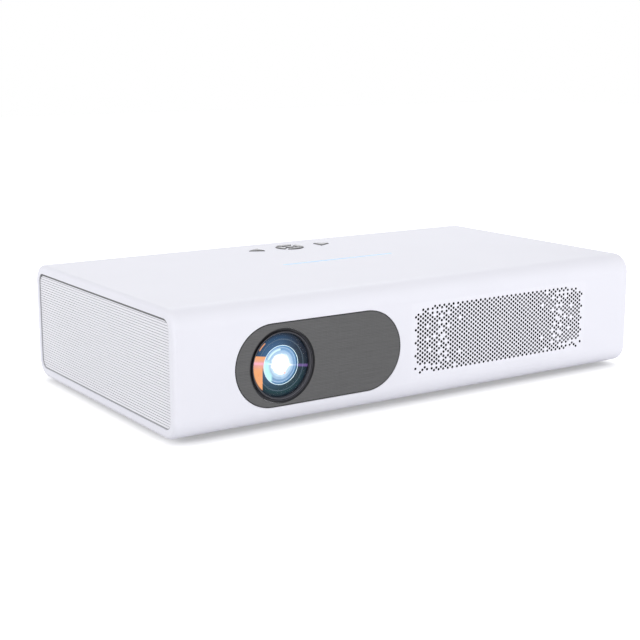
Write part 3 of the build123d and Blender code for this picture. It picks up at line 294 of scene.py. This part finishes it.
def drilledWhite(g, colour, recessShade, depth):
    # The front vent: white on its face, with painted shade that darkens its holes with depth.
    x, y, z = g.split(g.place())
    pits = g.noise(g.place(), 2600.0, 3.0, 0.6)
    holeShade = g.rise(y - frontY, depth * 0.3, depth)
    g.shader(BaseColor=g.mix(holeShade, g.mix(pits * 0.1, colour, tuple(c * 0.9 for c in colour)), recessShade),
             Roughness=pits * 0.12 + 0.32 + holeShade * 0.3, Normal=g.bump(pits, 0.3, 0.00003))


def keyLook(g, colour, dark, top):
    # Satin keys: painted shade darkens each key from a pale crest to its bevelled edge, with fine brushing from front
    # to rear.
    x, y, z = g.split(g.place())
    brush = g.noise(g.place(scale=(5200, 260, 1)), 1.0, 3.0, 0.6)
    cloud = g.noise(g.place(), 150.0, 1.0)
    crest = g.rise(z, top - 0.00030, top - 0.00002)
    face = g.mix(g.rise(cloud + brush * 0.2, 0.42, 0.70), colour, tuple(c * 0.42 for c in colour))
    g.shader(BaseColor=g.mix(crest, dark, face), Metallic=crest * 0.55, Roughness=brush * 0.18 + 0.28,
             Normal=g.bump(brush, 0.35, 0.00003))


def darkGlass(g, colour, rough=0.06):
    spot = g.place()
    smear = g.noise(spot, 140.0, 3.0)
    g.shader(BaseColor=g.mix(smear, colour, tuple(c * 1.6 + 0.002 for c in colour)),
             Roughness=smear * 0.08 + rough, Coat=0.8, CoatRough=0.04, Normal=g.bump(smear, 0.05, 0.00005))


def twoTone(g, mask, first, second, roughs=(0.35, 0.3), metals=(0.0, 1.0), grain=1500.0, depth=0.00003):
    # A body of one stuff with a part of another, told apart by where it is.
    part = mask(g)
    fine = g.noise(g.place(), grain, 3.0, 0.6)
    worn = g.noise(g.place(), 60.0, 2.0)
    shade = g.mix(part, g.mix(worn * 0.5, first, tuple(c * 0.7 for c in first)),
                  g.mix(worn * 0.5, second, tuple(c * 0.7 for c in second)))
    g.shader(BaseColor=shade, Metallic=part * (metals[1] - metals[0]) + metals[0],
             Roughness=part * (roughs[1] - roughs[0]) + roughs[0] + fine * 0.08,
             Normal=g.bump(fine, 0.3, depth))


def nearAxis(centre, radius, flat="xz"):
    # 1 inside a cylinder about a point, along the axis that isn't named.
    def mask(g):
        parts = dict(zip("xyz", g.split(g.place(centre))))
        a, b = (parts[k] for k in flat)
        return (a * a + b * b).root() < radius
    return mask


def pinMask(g):
    x, y, z = g.split(g.place(tuple(centreOf("mains_inlet"))))
    side = abs(x) - 0.0043
    return ((side * side + z * z).root() < 0.00135) * (abs(y) < 0.02)


def tongueMask(centre, half, pitch):
    # 0 on the tongue of a socket, apart from its contacts, which lie side by side under it.
    def mask(g):
        x, y, z = g.split(g.place(centre))
        inside = (abs(x) < half[0]) * (z > half[1]) * (z < half[2])
        contact = ((x * (2 * math.pi / pitch)).wave() > 0.0) * (z < half[1] + 0.00012) * (abs(x) < half[0] - 0.0006)
        return 1 - inside * (1 - contact)
    return mask


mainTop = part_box("hdmi_socket")[0].z
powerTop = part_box("power_board")[0].z + 0.0016
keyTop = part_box("left_key")[1].z
white = (0.855, 0.855, 0.925)
steel = (0.58, 0.58, 0.60)
black = (0.022, 0.022, 0.024)

slotFinishes = {
    "white_casing": (moulded, dict(colour=white, rough=0.44, specular=0.22)),
    # The ribs' second colour is painted shade in their grooves.
    "white_ribs": (ribbedWhite, dict(colour=(0.90, 0.90, 0.95), recessShade=(0.60, 0.60, 0.64), pitch=0.001536, rough=0.42,
                                  specular=0.3)),
    "tray_fascia": (moulded, dict(colour=white, rough=0.44, specular=0.3)),
    "grey_panel": (linen, dict(colour=(0.094, 0.094, 0.096), radius=0.0237, half=0.0321, line=0.0006)),
    "black_ring": (turnedBlack, dict(colour=(0.048, 0.048, 0.058), centre=(lensX, 0, lensZ))),
    "optical_glass": (darkGlass, dict(colour=(0.03, 0.05, 0.08), rough=0.03)),
    "light_guide": (glow, dict(colour=(0.20, 0.48, 0.86), pale=(0.42, 0.66, 0.92), far=0.0423)),
    # The keys' dark colour is painted shade on their bevels.
    "key_metal": (keyLook, dict(colour=(0.36, 0.36, 0.37), dark=(0.035, 0.035, 0.038), top=keyTop)),
    "button_grey": (moulded, dict(colour=(0.50, 0.50, 0.53), rough=0.35)),
    "dark_window": (darkGlass, dict(colour=(0.020, 0.006, 0.012))),
    "screw_steel": (metal, dict(colour=(0.46, 0.46, 0.48), rough=0.33, along=(3000, 3000, 600))),
    "brass": (metal, dict(colour=(0.72, 0.53, 0.24), rough=0.30, along=(2500, 2500, 500))),
    "rubber": (rubber, dict(colour=(0.028, 0.028, 0.030))),
    "foot_metal": (moulded, dict(colour=(0.10, 0.10, 0.11), rough=0.42)),
    "board_green": (boardLook, dict(colour=(0.012, 0.14, 0.055), top=mainTop)),
    "motor_can": (metal, dict(colour=steel, rough=0.30, along=(2000, 2000, 400))),
    "engine_black": (moulded, dict(colour=(0.030, 0.030, 0.032), rough=0.5, grain=1500)),
    "mirror": (metal, dict(colour=(0.93, 0.93, 0.94), rough=0.11, wear=0.0)),
    "lcd_film": (darkGlass, dict(colour=(0.05, 0.07, 0.10))),
    "lamp_copper": (metal, dict(colour=(0.80, 0.42, 0.28), rough=0.32, along=(400, 2600, 2600))),
    "sink_aluminium": (metal, dict(colour=(0.74, 0.74, 0.76), rough=0.34, along=(2600, 60, 2600))),
    "fan_black": (moulded, dict(colour=black, rough=0.45, grain=1600)),
    "socket_shell": (metal, dict(colour=(0.66, 0.66, 0.67), rough=0.28, along=(2800, 300, 2800))),
    "socket_black": (moulded, dict(colour=black, rough=0.42)),
    "speaker_black": (moulded, dict(colour=(0.045, 0.045, 0.048), rough=0.55, grain=1200)),
    "drive_steel": (metal, dict(colour=steel, rough=0.32, along=(60, 2400, 2400), wear=0.2)),
    "tray_black": (moulded, dict(colour=(0.030, 0.030, 0.034), rough=0.42, grain=1900, drift=0.15)),
    "hub_black": (moulded, dict(colour=(0.040, 0.040, 0.043), rough=0.35)),
    "sled_alloy": (metal, dict(colour=(0.36, 0.36, 0.38), rough=0.42, along=(1500, 1500, 1500))),
}
nodeFinishes = {
    # The vent's second colour is painted shade in its holes.
    "front_vent_grille": (drilledWhite, dict(colour=white, recessShade=(0.012, 0.012, 0.014), depth=0.00014)),
    "base_plate": (moulded, dict(colour=(0.80, 0.80, 0.84), rough=0.5, grain=1900)),
    "power_board": (boardLook, dict(colour=(0.20, 0.13, 0.035), top=powerTop)),
    "hdmi_socket": (twoTone, dict(mask=tongueMask((centreOf("hdmi_socket").x, 0, mainTop),
                                                  (0.0057, 0.0046, 0.0057), 0.0010),
                                  first=black, second=(0.66, 0.66, 0.67))),
    "usb_socket": (twoTone, dict(mask=tongueMask((centreOf("usb_socket").x, 0, mainTop),
                                                 (0.0057, 0.0047, 0.0063), 0.0025),
                                 first=(0.015, 0.06, 0.30), second=(0.66, 0.66, 0.67))),
    "mains_inlet": (twoTone, dict(mask=pinMask, first=black, second=(0.70, 0.68, 0.62))),
    "left_speaker": (twoTone, dict(mask=nearAxis(tuple(centreOf("left_speaker")), 0.0172, "yz"),
                                   first=(0.10, 0.10, 0.11), second=(0.035, 0.033, 0.032), metals=(0.6, 0.0),
                                   roughs=(0.4, 0.7))),
    "right_speaker": (twoTone, dict(mask=nearAxis(tuple(centreOf("right_speaker")), 0.0172, "yz"),
                                    first=(0.10, 0.10, 0.11), second=(0.035, 0.033, 0.032), metals=(0.6, 0.0),
                                    roughs=(0.4, 0.7))),
}


def dressNodes():
    slots = {row["node"]: row["material_slot"] for row in frame["record"]["subparts"]}
    made = {}
    for node, obj in nodes.items():
        key = node if node in nodeFinishes else slots[node]
        if key not in made:
            paint, look = nodeFinishes.get(key) or slotFinishes[key]
            made[key] = finish(key, paint, **look)
        for place in obj.material_slots:
            place.material = made[key]
        if not obj.material_slots:
            obj.data.materials.append(made[key])
    return made


made = dressNodes()
print("finishes made:", len(made))


# New pieces: every one is a grid of points worked out with numpy.
def gridPiece(name, points, body, material, wrap=(False, True), smooth=30.0, shut=True):
    # points[i, j] is a row of the grid; a wrapped direction joins its last row to its first.
    rows, columns = points.shape[:2]
    i = np.arange(rows if wrap[0] else rows - 1)
    j = np.arange(columns if wrap[1] else columns - 1)
    i, j = np.meshgrid(i, j, indexing="ij")
    nextI, nextJ = (i + 1) % rows, (j + 1) % columns
    faces = np.stack([i * columns + j, i * columns + nextJ, nextI * columns + nextJ, nextI * columns + j], -1)
    mesh = bpy.data.meshes.new(name)
    mesh.from_pydata(points.reshape(-1, 3).tolist(), [], faces.reshape(-1, 4).tolist())
    return fitPiece(name, mesh, body, material, smooth, shut)


def fitPiece(name, mesh, body, material, smooth, shut):
    work = bmesh.new()
    work.from_mesh(mesh)
    bmesh.ops.remove_doubles(work, verts=work.verts, dist=1e-7)
    if shut:
        bmesh.ops.recalc_face_normals(work, faces=work.faces)
    work.to_mesh(mesh)
    work.free()
    if smooth:
        mesh.shade_smooth()
        mesh.set_sharp_from_angle(angle=math.radians(smooth))
    mesh.materials.append(material)
    piece = bpy.data.objects.new(name, mesh)
    bpy.context.scene.collection.objects.link(piece)
    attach(piece, body)
    return piece


def turnedRows(radii, along, centre, around=96):
    # Each point of the profile (radius, distance along Y) is carried round a full circle.
    angle = np.linspace(0, 2 * np.pi, around, endpoint=False)
    r = np.asarray(radii, float)[:, None]
    h = np.asarray(along, float)[:, None] + 0 * angle
    return np.stack([r * np.cos(angle), h, r * np.sin(angle)], -1) + np.asarray(centre, float)


# The projection lens: a clear front element, a stepped baffle, a bright rim and the inner element; the baffle, the
# rim and the inner element glow with painted light.
lensLook = dict(glassRadius=0.0181, glassRise=0.0012, glassEdge=0.0014, skin=0.0007, innerRadius=0.0108,
                ringRadius=0.0111, ringWire=0.00020, faintRing=0.0146)


def glassFront(r, look):
    # Depth of the dome behind the casing's front at radius r: a parabola from its edge to its crown.
    return look["glassEdge"] - look["glassRise"] * (1 - (r / look["glassRadius"]) ** 2)


def lensAxes(g):
    x, y, z = g.split(g.place((lensX, 0, lensZ)))
    return x, z, (x * x + z * z).root()


def paintGlass(g):
    x, z, r = lensAxes(g)
    smear = g.noise(g.place(), 160.0, 2.0)
    rim = g.rise(r, 0.0124, 0.0181)
    g.shader(BaseColor=g.mix(rim, (0.02, 0.05, 0.10), (0.01, 0.015, 0.02)), Alpha=rim * 0.012 + 0.006 + smear * 0.004,
             Roughness=smear * 0.02 + 0.10, Specular=0.4)


def paintBaffle(g):
    # All of the baffle's glow is painted light: blue that is lighter to the left and towards the centre, teal lower
    # down, painted shade towards its outer edge, a faint pale ring and a purple flare.
    x, z, r = lensAxes(g)
    level = z + x * 0.16  # level in the photograph
    left = g.rise(x - z * 0.55, -0.020, 0.012, 1.0, 0.0)
    low = g.rise(z, -0.017, 0.010, 1.0, 0.0)
    near = g.rise(r, 0.0108, 0.0165, 1.0, 0.0)
    cold = g.mix(left, (0.010, 0.013, 0.024), (0.022, 0.075, 0.165))
    teal = g.mix(low, cold, (0.008, 0.040, 0.046))
    body = g.mix(near * 0.55, teal, g.mix(left, (0.030, 0.050, 0.070), (0.085, 0.200, 0.400)))
    dark = g.rise(r, 0.0156, 0.0180)
    body = g.mix(dark * 0.85, body, (0.006, 0.010, 0.018))
    ringPart = 1 - g.rise(abs(r - lensLook["faintRing"]), 0.00010, 0.00042)
    body = g.mix(ringPart * 0.45, body, (0.16, 0.22, 0.28))
    # The painted warm reflection at the left, and the painted glint of the sliver over it.
    fine = g.noise(g.place(), 320.0, 3.0)
    ceiling = g.rise(level, 0.0042, 0.0046, 1.0, 0.0)
    patch = g.rise(x, -0.0121, -0.0117, 1.0, 0.0) * ceiling * g.rise(r, 0.0172, 0.0178, 1.0, 0.0)
    inner = g.rise(r, 0.0108, 0.0112) * g.rise(x, -0.0080, -0.0074, 1.0, 0.0) * g.rise(z, -0.0030, 0.0010)
    patch = patch.most(inner * ceiling)
    pink = g.rise(abs(level), 0.0004, 0.0040, 1.0, 0.0)
    warm = g.mix(pink * 0.75, (0.93, 0.36, 0.13), (0.78, 0.34, 0.44))
    warm = g.mix(fine * 0.6, warm, (1.0, 0.55, 0.28))
    sliver = g.rise(abs(r - 0.0167), 0.00025, 0.0005, 1.0, 0.0)
    along = x * 0.70 + z * 0.714  # along the rim at the upper left
    sliver = sliver * g.rise(abs(along), 0.0022, 0.0030, 1.0, 0.0) * (x < 0.0) * (z > 0.0)
    body = g.mix(patch.most(sliver * 0.8), body, warm)
    # Painted light: a purple flare along the level through the lens.
    flare = g.rise(abs(level - 0.0003), 0.0001, 0.0013, 1.0, 0.0)
    body = g.mix(flare * 0.55, body, (0.26, 0.12, 0.46), "ADD")
    g.shader(BaseColor=g.mix(fine * 0.2, (0.004, 0.006, 0.010), (0.010, 0.014, 0.020)), Glow=body, GlowStrength=1.0,
             Roughness=0.40 + fine * 0.1, Specular=0.2)


def paintInner(g):
    # All of the inner element's glow is painted light: blue lighter towards the top, rings, a halo, a hot spot, a
    # cyan highlight, a streak, a thin pale ring and a red glint, with painted shade towards its edge on the right.
    x, z, r = lensAxes(g)
    swirl = g.noise(g.place(), 210.0, 3.0, 0.6)
    rings = (r * (2 * math.pi / 0.00155) + swirl * 2.5).wave() * 0.5 + 0.5
    sky = g.mix(g.rise(z, -0.009, 0.009), (0.070, 0.20, 0.40), (0.12, 0.29, 0.56))
    body = g.mix(rings * 0.35, sky, (0.40, 0.62, 0.86))
    halo = g.rise(r + (swirl - 0.5) * 0.002, 0.0052, 0.0096, 1.0, 0.0)
    body = g.mix(halo * 0.8, body, (0.62, 0.82, 0.98))
    shade = g.rise(r, 0.0072, 0.0105) * g.rise(x + z * 0.3, -0.004, 0.006)
    body = g.mix(shade * 0.55, body, (0.06, 0.20, 0.42))
    level = z + x * 0.16
    cyan = g.rise(r, 0.0068, 0.0086) * g.rise(x, -0.0066, -0.0050, 1.0, 0.0) * g.rise(level, 0.0006, 0.0034, 1.0, 0.0)
    body = g.mix(cyan * 0.85, body, (0.52, 0.95, 0.90))
    streak = g.rise(abs(r - 0.0088), 0.0002, 0.0009, 1.0, 0.0) * g.rise(z, 0.0030, 0.0045) * (x < 0.0)
    body = g.mix(streak * 0.8, body, (0.75, 1.0, 0.98))
    dx, dz = x + 0.0003, z - 0.0006
    ragged = (dx * dx + dz * dz).root() + (swirl - 0.5) * 0.0042
    hot = g.rise(ragged, 0.0048, 0.0064, 1.0, 0.0)
    hot = hot.most(g.rise(abs(level - 0.0003), 0.0001, 0.0008, 0.8, 0.0) * g.rise(abs(x), 0.005, 0.0095, 0.8, 0.1))
    second = 1 - g.rise(abs(r - 0.0098), 0.00005, 0.00022)
    body = g.mix(second * 0.55, body, (0.62, 0.78, 0.88))
    body = g.mix(hot, body, (1.25, 1.28, 1.3))
    ember = g.rise(abs(x - 0.0022) + abs(z + 0.0046), 0.0006, 0.0013, 1.0, 0.0)
    body = g.mix(ember * 0.7, body, (1.0, 0.42, 0.36))
    g.shader(BaseColor=g.mix(0.8, body, (0, 0, 0)), Glow=body, GlowStrength=0.95, Roughness=0.12, Coat=0.5,
             Normal=g.bump(rings, 0.1, 0.00004))


def paintRing(g):
    # The rim's glow is painted light, a painted highlight on its metal.
    x, z, r = lensAxes(g)
    turn = g.noise(g.place(), 260.0, 2.0)
    g.shader(BaseColor=g.mix(turn, (0.45, 0.62, 0.72), (0.85, 0.95, 1.0)), Metallic=0.6, Roughness=turn * 0.2 + 0.15,
             Glow=g.mix(turn, (0.18, 0.36, 0.45), (0.60, 0.78, 0.85)), GlowStrength=0.6)


def buildLens(look):
    radius, skin = look["glassRadius"], look["skin"]
    centre = (lensX, frontY, lensZ)
    r = np.linspace(0, radius, 28)
    outer = glassFront(r, look)
    radii = np.concatenate([r, r[::-1]])
    along = np.concatenate([outer, outer[::-1] + skin])
    glass = gridPiece("frontGlass", turnedRows(radii, along, centre), "focus_barrel",
                      finish("clearCoatedGlass", paintGlass), smooth=50)
    # The baffle follows the dome, with a raised ring and a step down to the bright rim.
    f, ring, inner = look["faintRing"], look["ringRadius"], look["innerRadius"]
    face = [(radius, 0.0011), (0.0172, 0.0010), (f + 0.0008, 0.0012), (f + 0.0003, 0.0012), (f + 0.00025, 0.0010),
            (f - 0.00025, 0.0010), (f - 0.0003, 0.0012), (ring + 0.0011, 0.0013), (ring + 0.0003, 0.0013),
            (ring + 0.0002, 0.0016), (ring - 0.0002, 0.0016), (inner, 0.0018)]
    rr = np.array([p[0] for p in face])
    yy = glassFront(rr, look) + np.array([p[1] for p in face])
    back = glassFront(radius, look) + 0.0023
    rr = np.concatenate([rr, [inner, radius]])
    yy = np.concatenate([yy, [back, back]])
    gridPiece("lensBaffle", turnedRows(rr, yy, centre, 120), "focus_barrel",
              finish("baffleWithPaintedLight", paintBaffle), wrap=(True, True), smooth=35)
    loop = np.linspace(0, 2 * np.pi, 12, endpoint=False)
    ringY = glassFront(ring, look) + 0.0014
    gridPiece("lensRim", turnedRows(ring + look["ringWire"] * np.cos(loop), ringY + look["ringWire"] * np.sin(loop),
                                    centre, 120), "focus_barrel", finish("rimWithPaintedGlow", paintRing),
              wrap=(True, True), smooth=60)
    r = np.linspace(0, inner - 0.00002, 20)
    dome = glassFront(inner, look) + 0.0021 - 0.0012 * (1 - (r / inner) ** 2)
    radii = np.concatenate([r, r[::-1]])
    along = np.concatenate([dome, 0 * r + back - 0.00005])
    gridPiece("innerGlass", turnedRows(radii, along, centre), "focus_barrel",
              finish("innerGlassWithPaintedLight", paintInner), smooth=40)
    return glass


glass = buildLens(lensLook)
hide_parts("lens_elements")
print("lens built")


# The dust screen behind the front vent: a woven sheet, its threads a crossed wave on a grid.
screenLook = dict(pitch=0.0022, wave=0.00012, back=0.00035, rows=60, columns=220)


def paintScreen(g):
    x, y, z = g.split(g.place())
    warp = (x * (2 * math.pi / 0.0005)).wave() * (z * (2 * math.pi / 0.0005)).wave()
    fine = g.noise(g.place(), 900.0, 2.0)
    g.shader(BaseColor=g.mix(warp * 0.5 + 0.5, (0.030, 0.031, 0.034), (0.075, 0.077, 0.082)),
             Roughness=fine * 0.2 + 0.6, Normal=g.bump(warp, 0.5, 0.0001))


def buildScreen(look):
    low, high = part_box("front_vent_grille")
    x = np.linspace(low.x + 0.0006, high.x - 0.0006, look["columns"])[None, :]
    z = np.linspace(low.z + 0.0006, high.z - 0.0006, look["rows"])[:, None]
    weave = np.sin(2 * np.pi * x / look["pitch"]) * np.sin(2 * np.pi * z / look["pitch"])
    y = high.y + look["back"] + look["wave"] * weave
    front = np.stack(np.broadcast_arrays(x, y, z), -1)
    back = front[::-1] + np.array([0, 0.0003, 0])
    gridPiece("ventScreen", np.concatenate([front, back]), "chassis", finish("ventScreen", paintScreen),
              wrap=(True, False), smooth=60)


buildScreen(screenLook)
print("screen built")


# A thin dark strip of painted shade round each end panel, in the gap there: a flat strip carried round a rectangle
# with round corners.
gapShadeLook = dict(halfWidth=0.0882, halfHeight=0.0304, corner=0.0057, side=0.00035, top=0.0011, foot=0.0005,
                front=0.00022, back=0.00002, turns=12)


def roundedPath(halfWidth, halfHeight, corner, turns):
    # Quarter circles about the four corner centres, joined by straight lines; y and z of each point.
    angle = np.linspace(0, np.pi / 2, turns)
    quarter = np.arange(4)[:, None] * np.pi / 2
    sideY = np.array([1, -1, -1, 1])[:, None] * (halfWidth - corner)
    sideZ = np.array([1, 1, -1, -1])[:, None] * (halfHeight - corner)
    y = sideY + corner * np.cos(angle + quarter)
    z = sideZ + corner * np.sin(angle + quarter)
    return np.stack([y.ravel(), z.ravel()], -1)


def buildGapShade(name, panel, side, look, material):
    low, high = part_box(panel)
    middle = (low + high) / 2
    face = (high.x if side > 0 else -low.x)
    edge, top, foot = look["side"], look["top"], look["foot"]
    outside = roundedPath(look["halfWidth"], look["halfHeight"], look["corner"], look["turns"])
    inside = roundedPath(look["halfWidth"] - edge, look["halfHeight"] - (top + foot) / 2, look["corner"] - edge,
                         look["turns"]) + np.array([0, (foot - top) / 2])
    loops = (outside, inside)
    rows = [(0, look["front"]), (1, look["front"]), (1, look["back"]), (0, look["back"])]
    ring = [np.column_stack([np.full(len(loops[k]), side * (face + x)), loops[k][:, 0], loops[k][:, 1] + middle.z])
            for k, x in rows]
    gridPiece(name, np.stack(ring), "chassis", material, wrap=(True, True), smooth=40)


def paintGapShade(g, dark, pale, top):
    # Painted shade: dark under the top edge, paler round the rest.
    x, y, z = g.split(g.place())
    dust = g.noise(g.place(), 400.0, 4.0, 0.7)
    shade = g.mix(g.rise(z, top - 0.0040, top - 0.0012), pale, dark)
    g.shader(BaseColor=g.mix(dust * 0.3, shade, tuple(c * 0.6 for c in pale)), Roughness=dust * 0.2 + 0.6,
             Normal=g.bump(dust, 0.3, 0.00005))


# The strip's dark and pale tones are painted shade.
gapShadeTop = centreOf("left_grille").z + gapShadeLook["halfHeight"]
gapShadeFinish = finish("panelGapShade", paintGapShade, dark=(0.11, 0.11, 0.117), pale=(0.36, 0.36, 0.38), top=gapShadeTop)
buildGapShade("leftPanelGapShade", "left_grille", -1, gapShadeLook, gapShadeFinish)
buildGapShade("rightPanelGapShade", "right_panel", 1, gapShadeLook, gapShadeFinish)
print("seals built")


# Pale acoustic cloth behind the ribs of either end, over its loudspeaker: rings about the loudspeaker's axis.
clothLook = dict(radius=0.0168, behind=0.00075, thick=0.00025, threads=0.0004)


def paintCloth(g, pitch):
    x, y, z = g.split(g.place())
    weave = (y * (2 * math.pi / pitch)).wave() * (z * (2 * math.pi / pitch)).wave() * 0.5 + 0.5
    g.shader(BaseColor=g.mix(weave, (0.60, 0.60, 0.63), (0.80, 0.80, 0.84)), Roughness=weave * 0.15 + 0.7,
             Normal=g.bump(weave, 0.4, 0.00006))


def buildCloth(name, panel, speaker, side, look, material):
    low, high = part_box(panel)
    face = (high.x if side > 0 else -low.x) - look["behind"]
    middle = centreOf(speaker)
    radii = np.array([0.0, 0.004, 0.008, 0.012, look["radius"]])
    radii = np.concatenate([radii, radii[::-1]])
    depth = np.where(np.arange(len(radii)) < len(radii) // 2, face, face - look["thick"])
    angle = np.linspace(0, 2 * np.pi, 64, endpoint=False)
    y, z = middle.y + radii[:, None] * np.cos(angle), middle.z + radii[:, None] * np.sin(angle)
    points = np.stack([side * depth[:, None] + 0 * y, y, z], -1)
    gridPiece(name, points, "chassis", material, smooth=40)


clothFinish = finish("acousticCloth", paintCloth, pitch=clothLook["threads"])
buildCloth("leftCloth", "left_grille", "left_speaker", -1, clothLook, clothFinish)
buildCloth("rightCloth", "right_panel", "right_speaker", 1, clothLook, clothFinish)
print("cloths built")


# Floor, world and lamps.
def paintFloor(g, colour, near, far, inside, reach):
    # The floor's own light, seen by the camera alone, grows with the distance from the casing; so the real shade
    # shows under and near the casing, and the weaker glow there adds a painted shadow.
    x, y, z = g.split(g.place())
    out, behind = (abs(x) - (endX - inside)).most(0.0), (abs(y) + (frontY + inside)).most(0.0)
    lift = g.rise((out * out + behind * behind).root(), 0.0, reach, near, far)
    seen = g.looked()
    spread = g.add("ShaderNodeBsdfDiffuse", None, {"Color": (*colour, 1), "Roughness": 0.3})
    white = g.add("ShaderNodeEmission", None, {"Color": (1, 1, 1, 1), "Strength": seen * lift})
    both = g.add("ShaderNodeAddShader", None, {0: spread, 1: white})
    g.add("ShaderNodeOutputMaterial", None, {"Surface": both})


studio = dict(ambient=0.60, span=3.0,
              floor=dict(colour=(0.73, 0.73, 0.74), near=0.22, far=0.72, inside=0.012, reach=0.026))


def buildStudio(look):
    span = look["span"]
    mesh = bpy.data.meshes.new("studioFloor")
    mesh.from_pydata([(-span, -span, -0.0002), (span, -span, -0.0002), (span, span, -0.0002), (-span, span, -0.0002)],
                     [], [(0, 1, 2, 3)])
    floor = bpy.data.objects.new("studioFloor", mesh)
    bpy.context.scene.collection.objects.link(floor)
    mesh.materials.append(finish("studioFloor", paintFloor, **look["floor"]))
    world = bpy.data.worlds.new("studioWorld")
    bpy.context.scene.world = world
    world.use_nodes = True
    g = Graph(world.node_tree)
    strength = g.looked() * (1.0 - look["ambient"]) + look["ambient"]
    sky = g.add("ShaderNodeBackground", None, {"Color": (1, 1, 1, 1), "Strength": strength})
    g.add("ShaderNodeOutputWorld", None, {"Surface": sky})


def lamp(name, size, power, spot, aim, colour=(1, 1, 1), mirrored=False):
    # A lamp that isn't mirrored lights the part but doesn't show in its reflections.
    data = bpy.data.lights.new(name, "AREA")
    data.shape, data.size, data.size_y = "RECTANGLE", size[0], size[1]
    data.energy, data.color = power, colour
    light = bpy.data.objects.new(name, data)
    bpy.context.scene.collection.objects.link(light)
    light.visible_glossy = mirrored
    light.location = spot
    light.rotation_mode = "QUATERNION"
    light.rotation_quaternion = (Vector(aim) - Vector(spot)).to_track_quat("-Z", "Y")


buildStudio(studio)
lamp("frontSoftbox", (1.2, 0.4), 8.6, (0.15, -1.40, 0.22), (0.0, -0.09, 0.03))
lamp("leftSoftbox", (0.9, 0.5), 6.3, (-1.40, 0.1, 0.40), (-0.16, 0.0, 0.03))
lamp("topSoftbox", (1.2, 1.0), 7.7, (0.70, 1.2, 1.10), (0.0, 0.0, 0.07), (0.95, 0.96, 1.0), True)
lamp("rightSoftbox", (0.9, 0.5), 5.0, (1.40, 0.3, 0.30), (0.16, 0.0, 0.03))
print("studio built")

bpy.context.scene.view_settings.view_transform = "Standard"
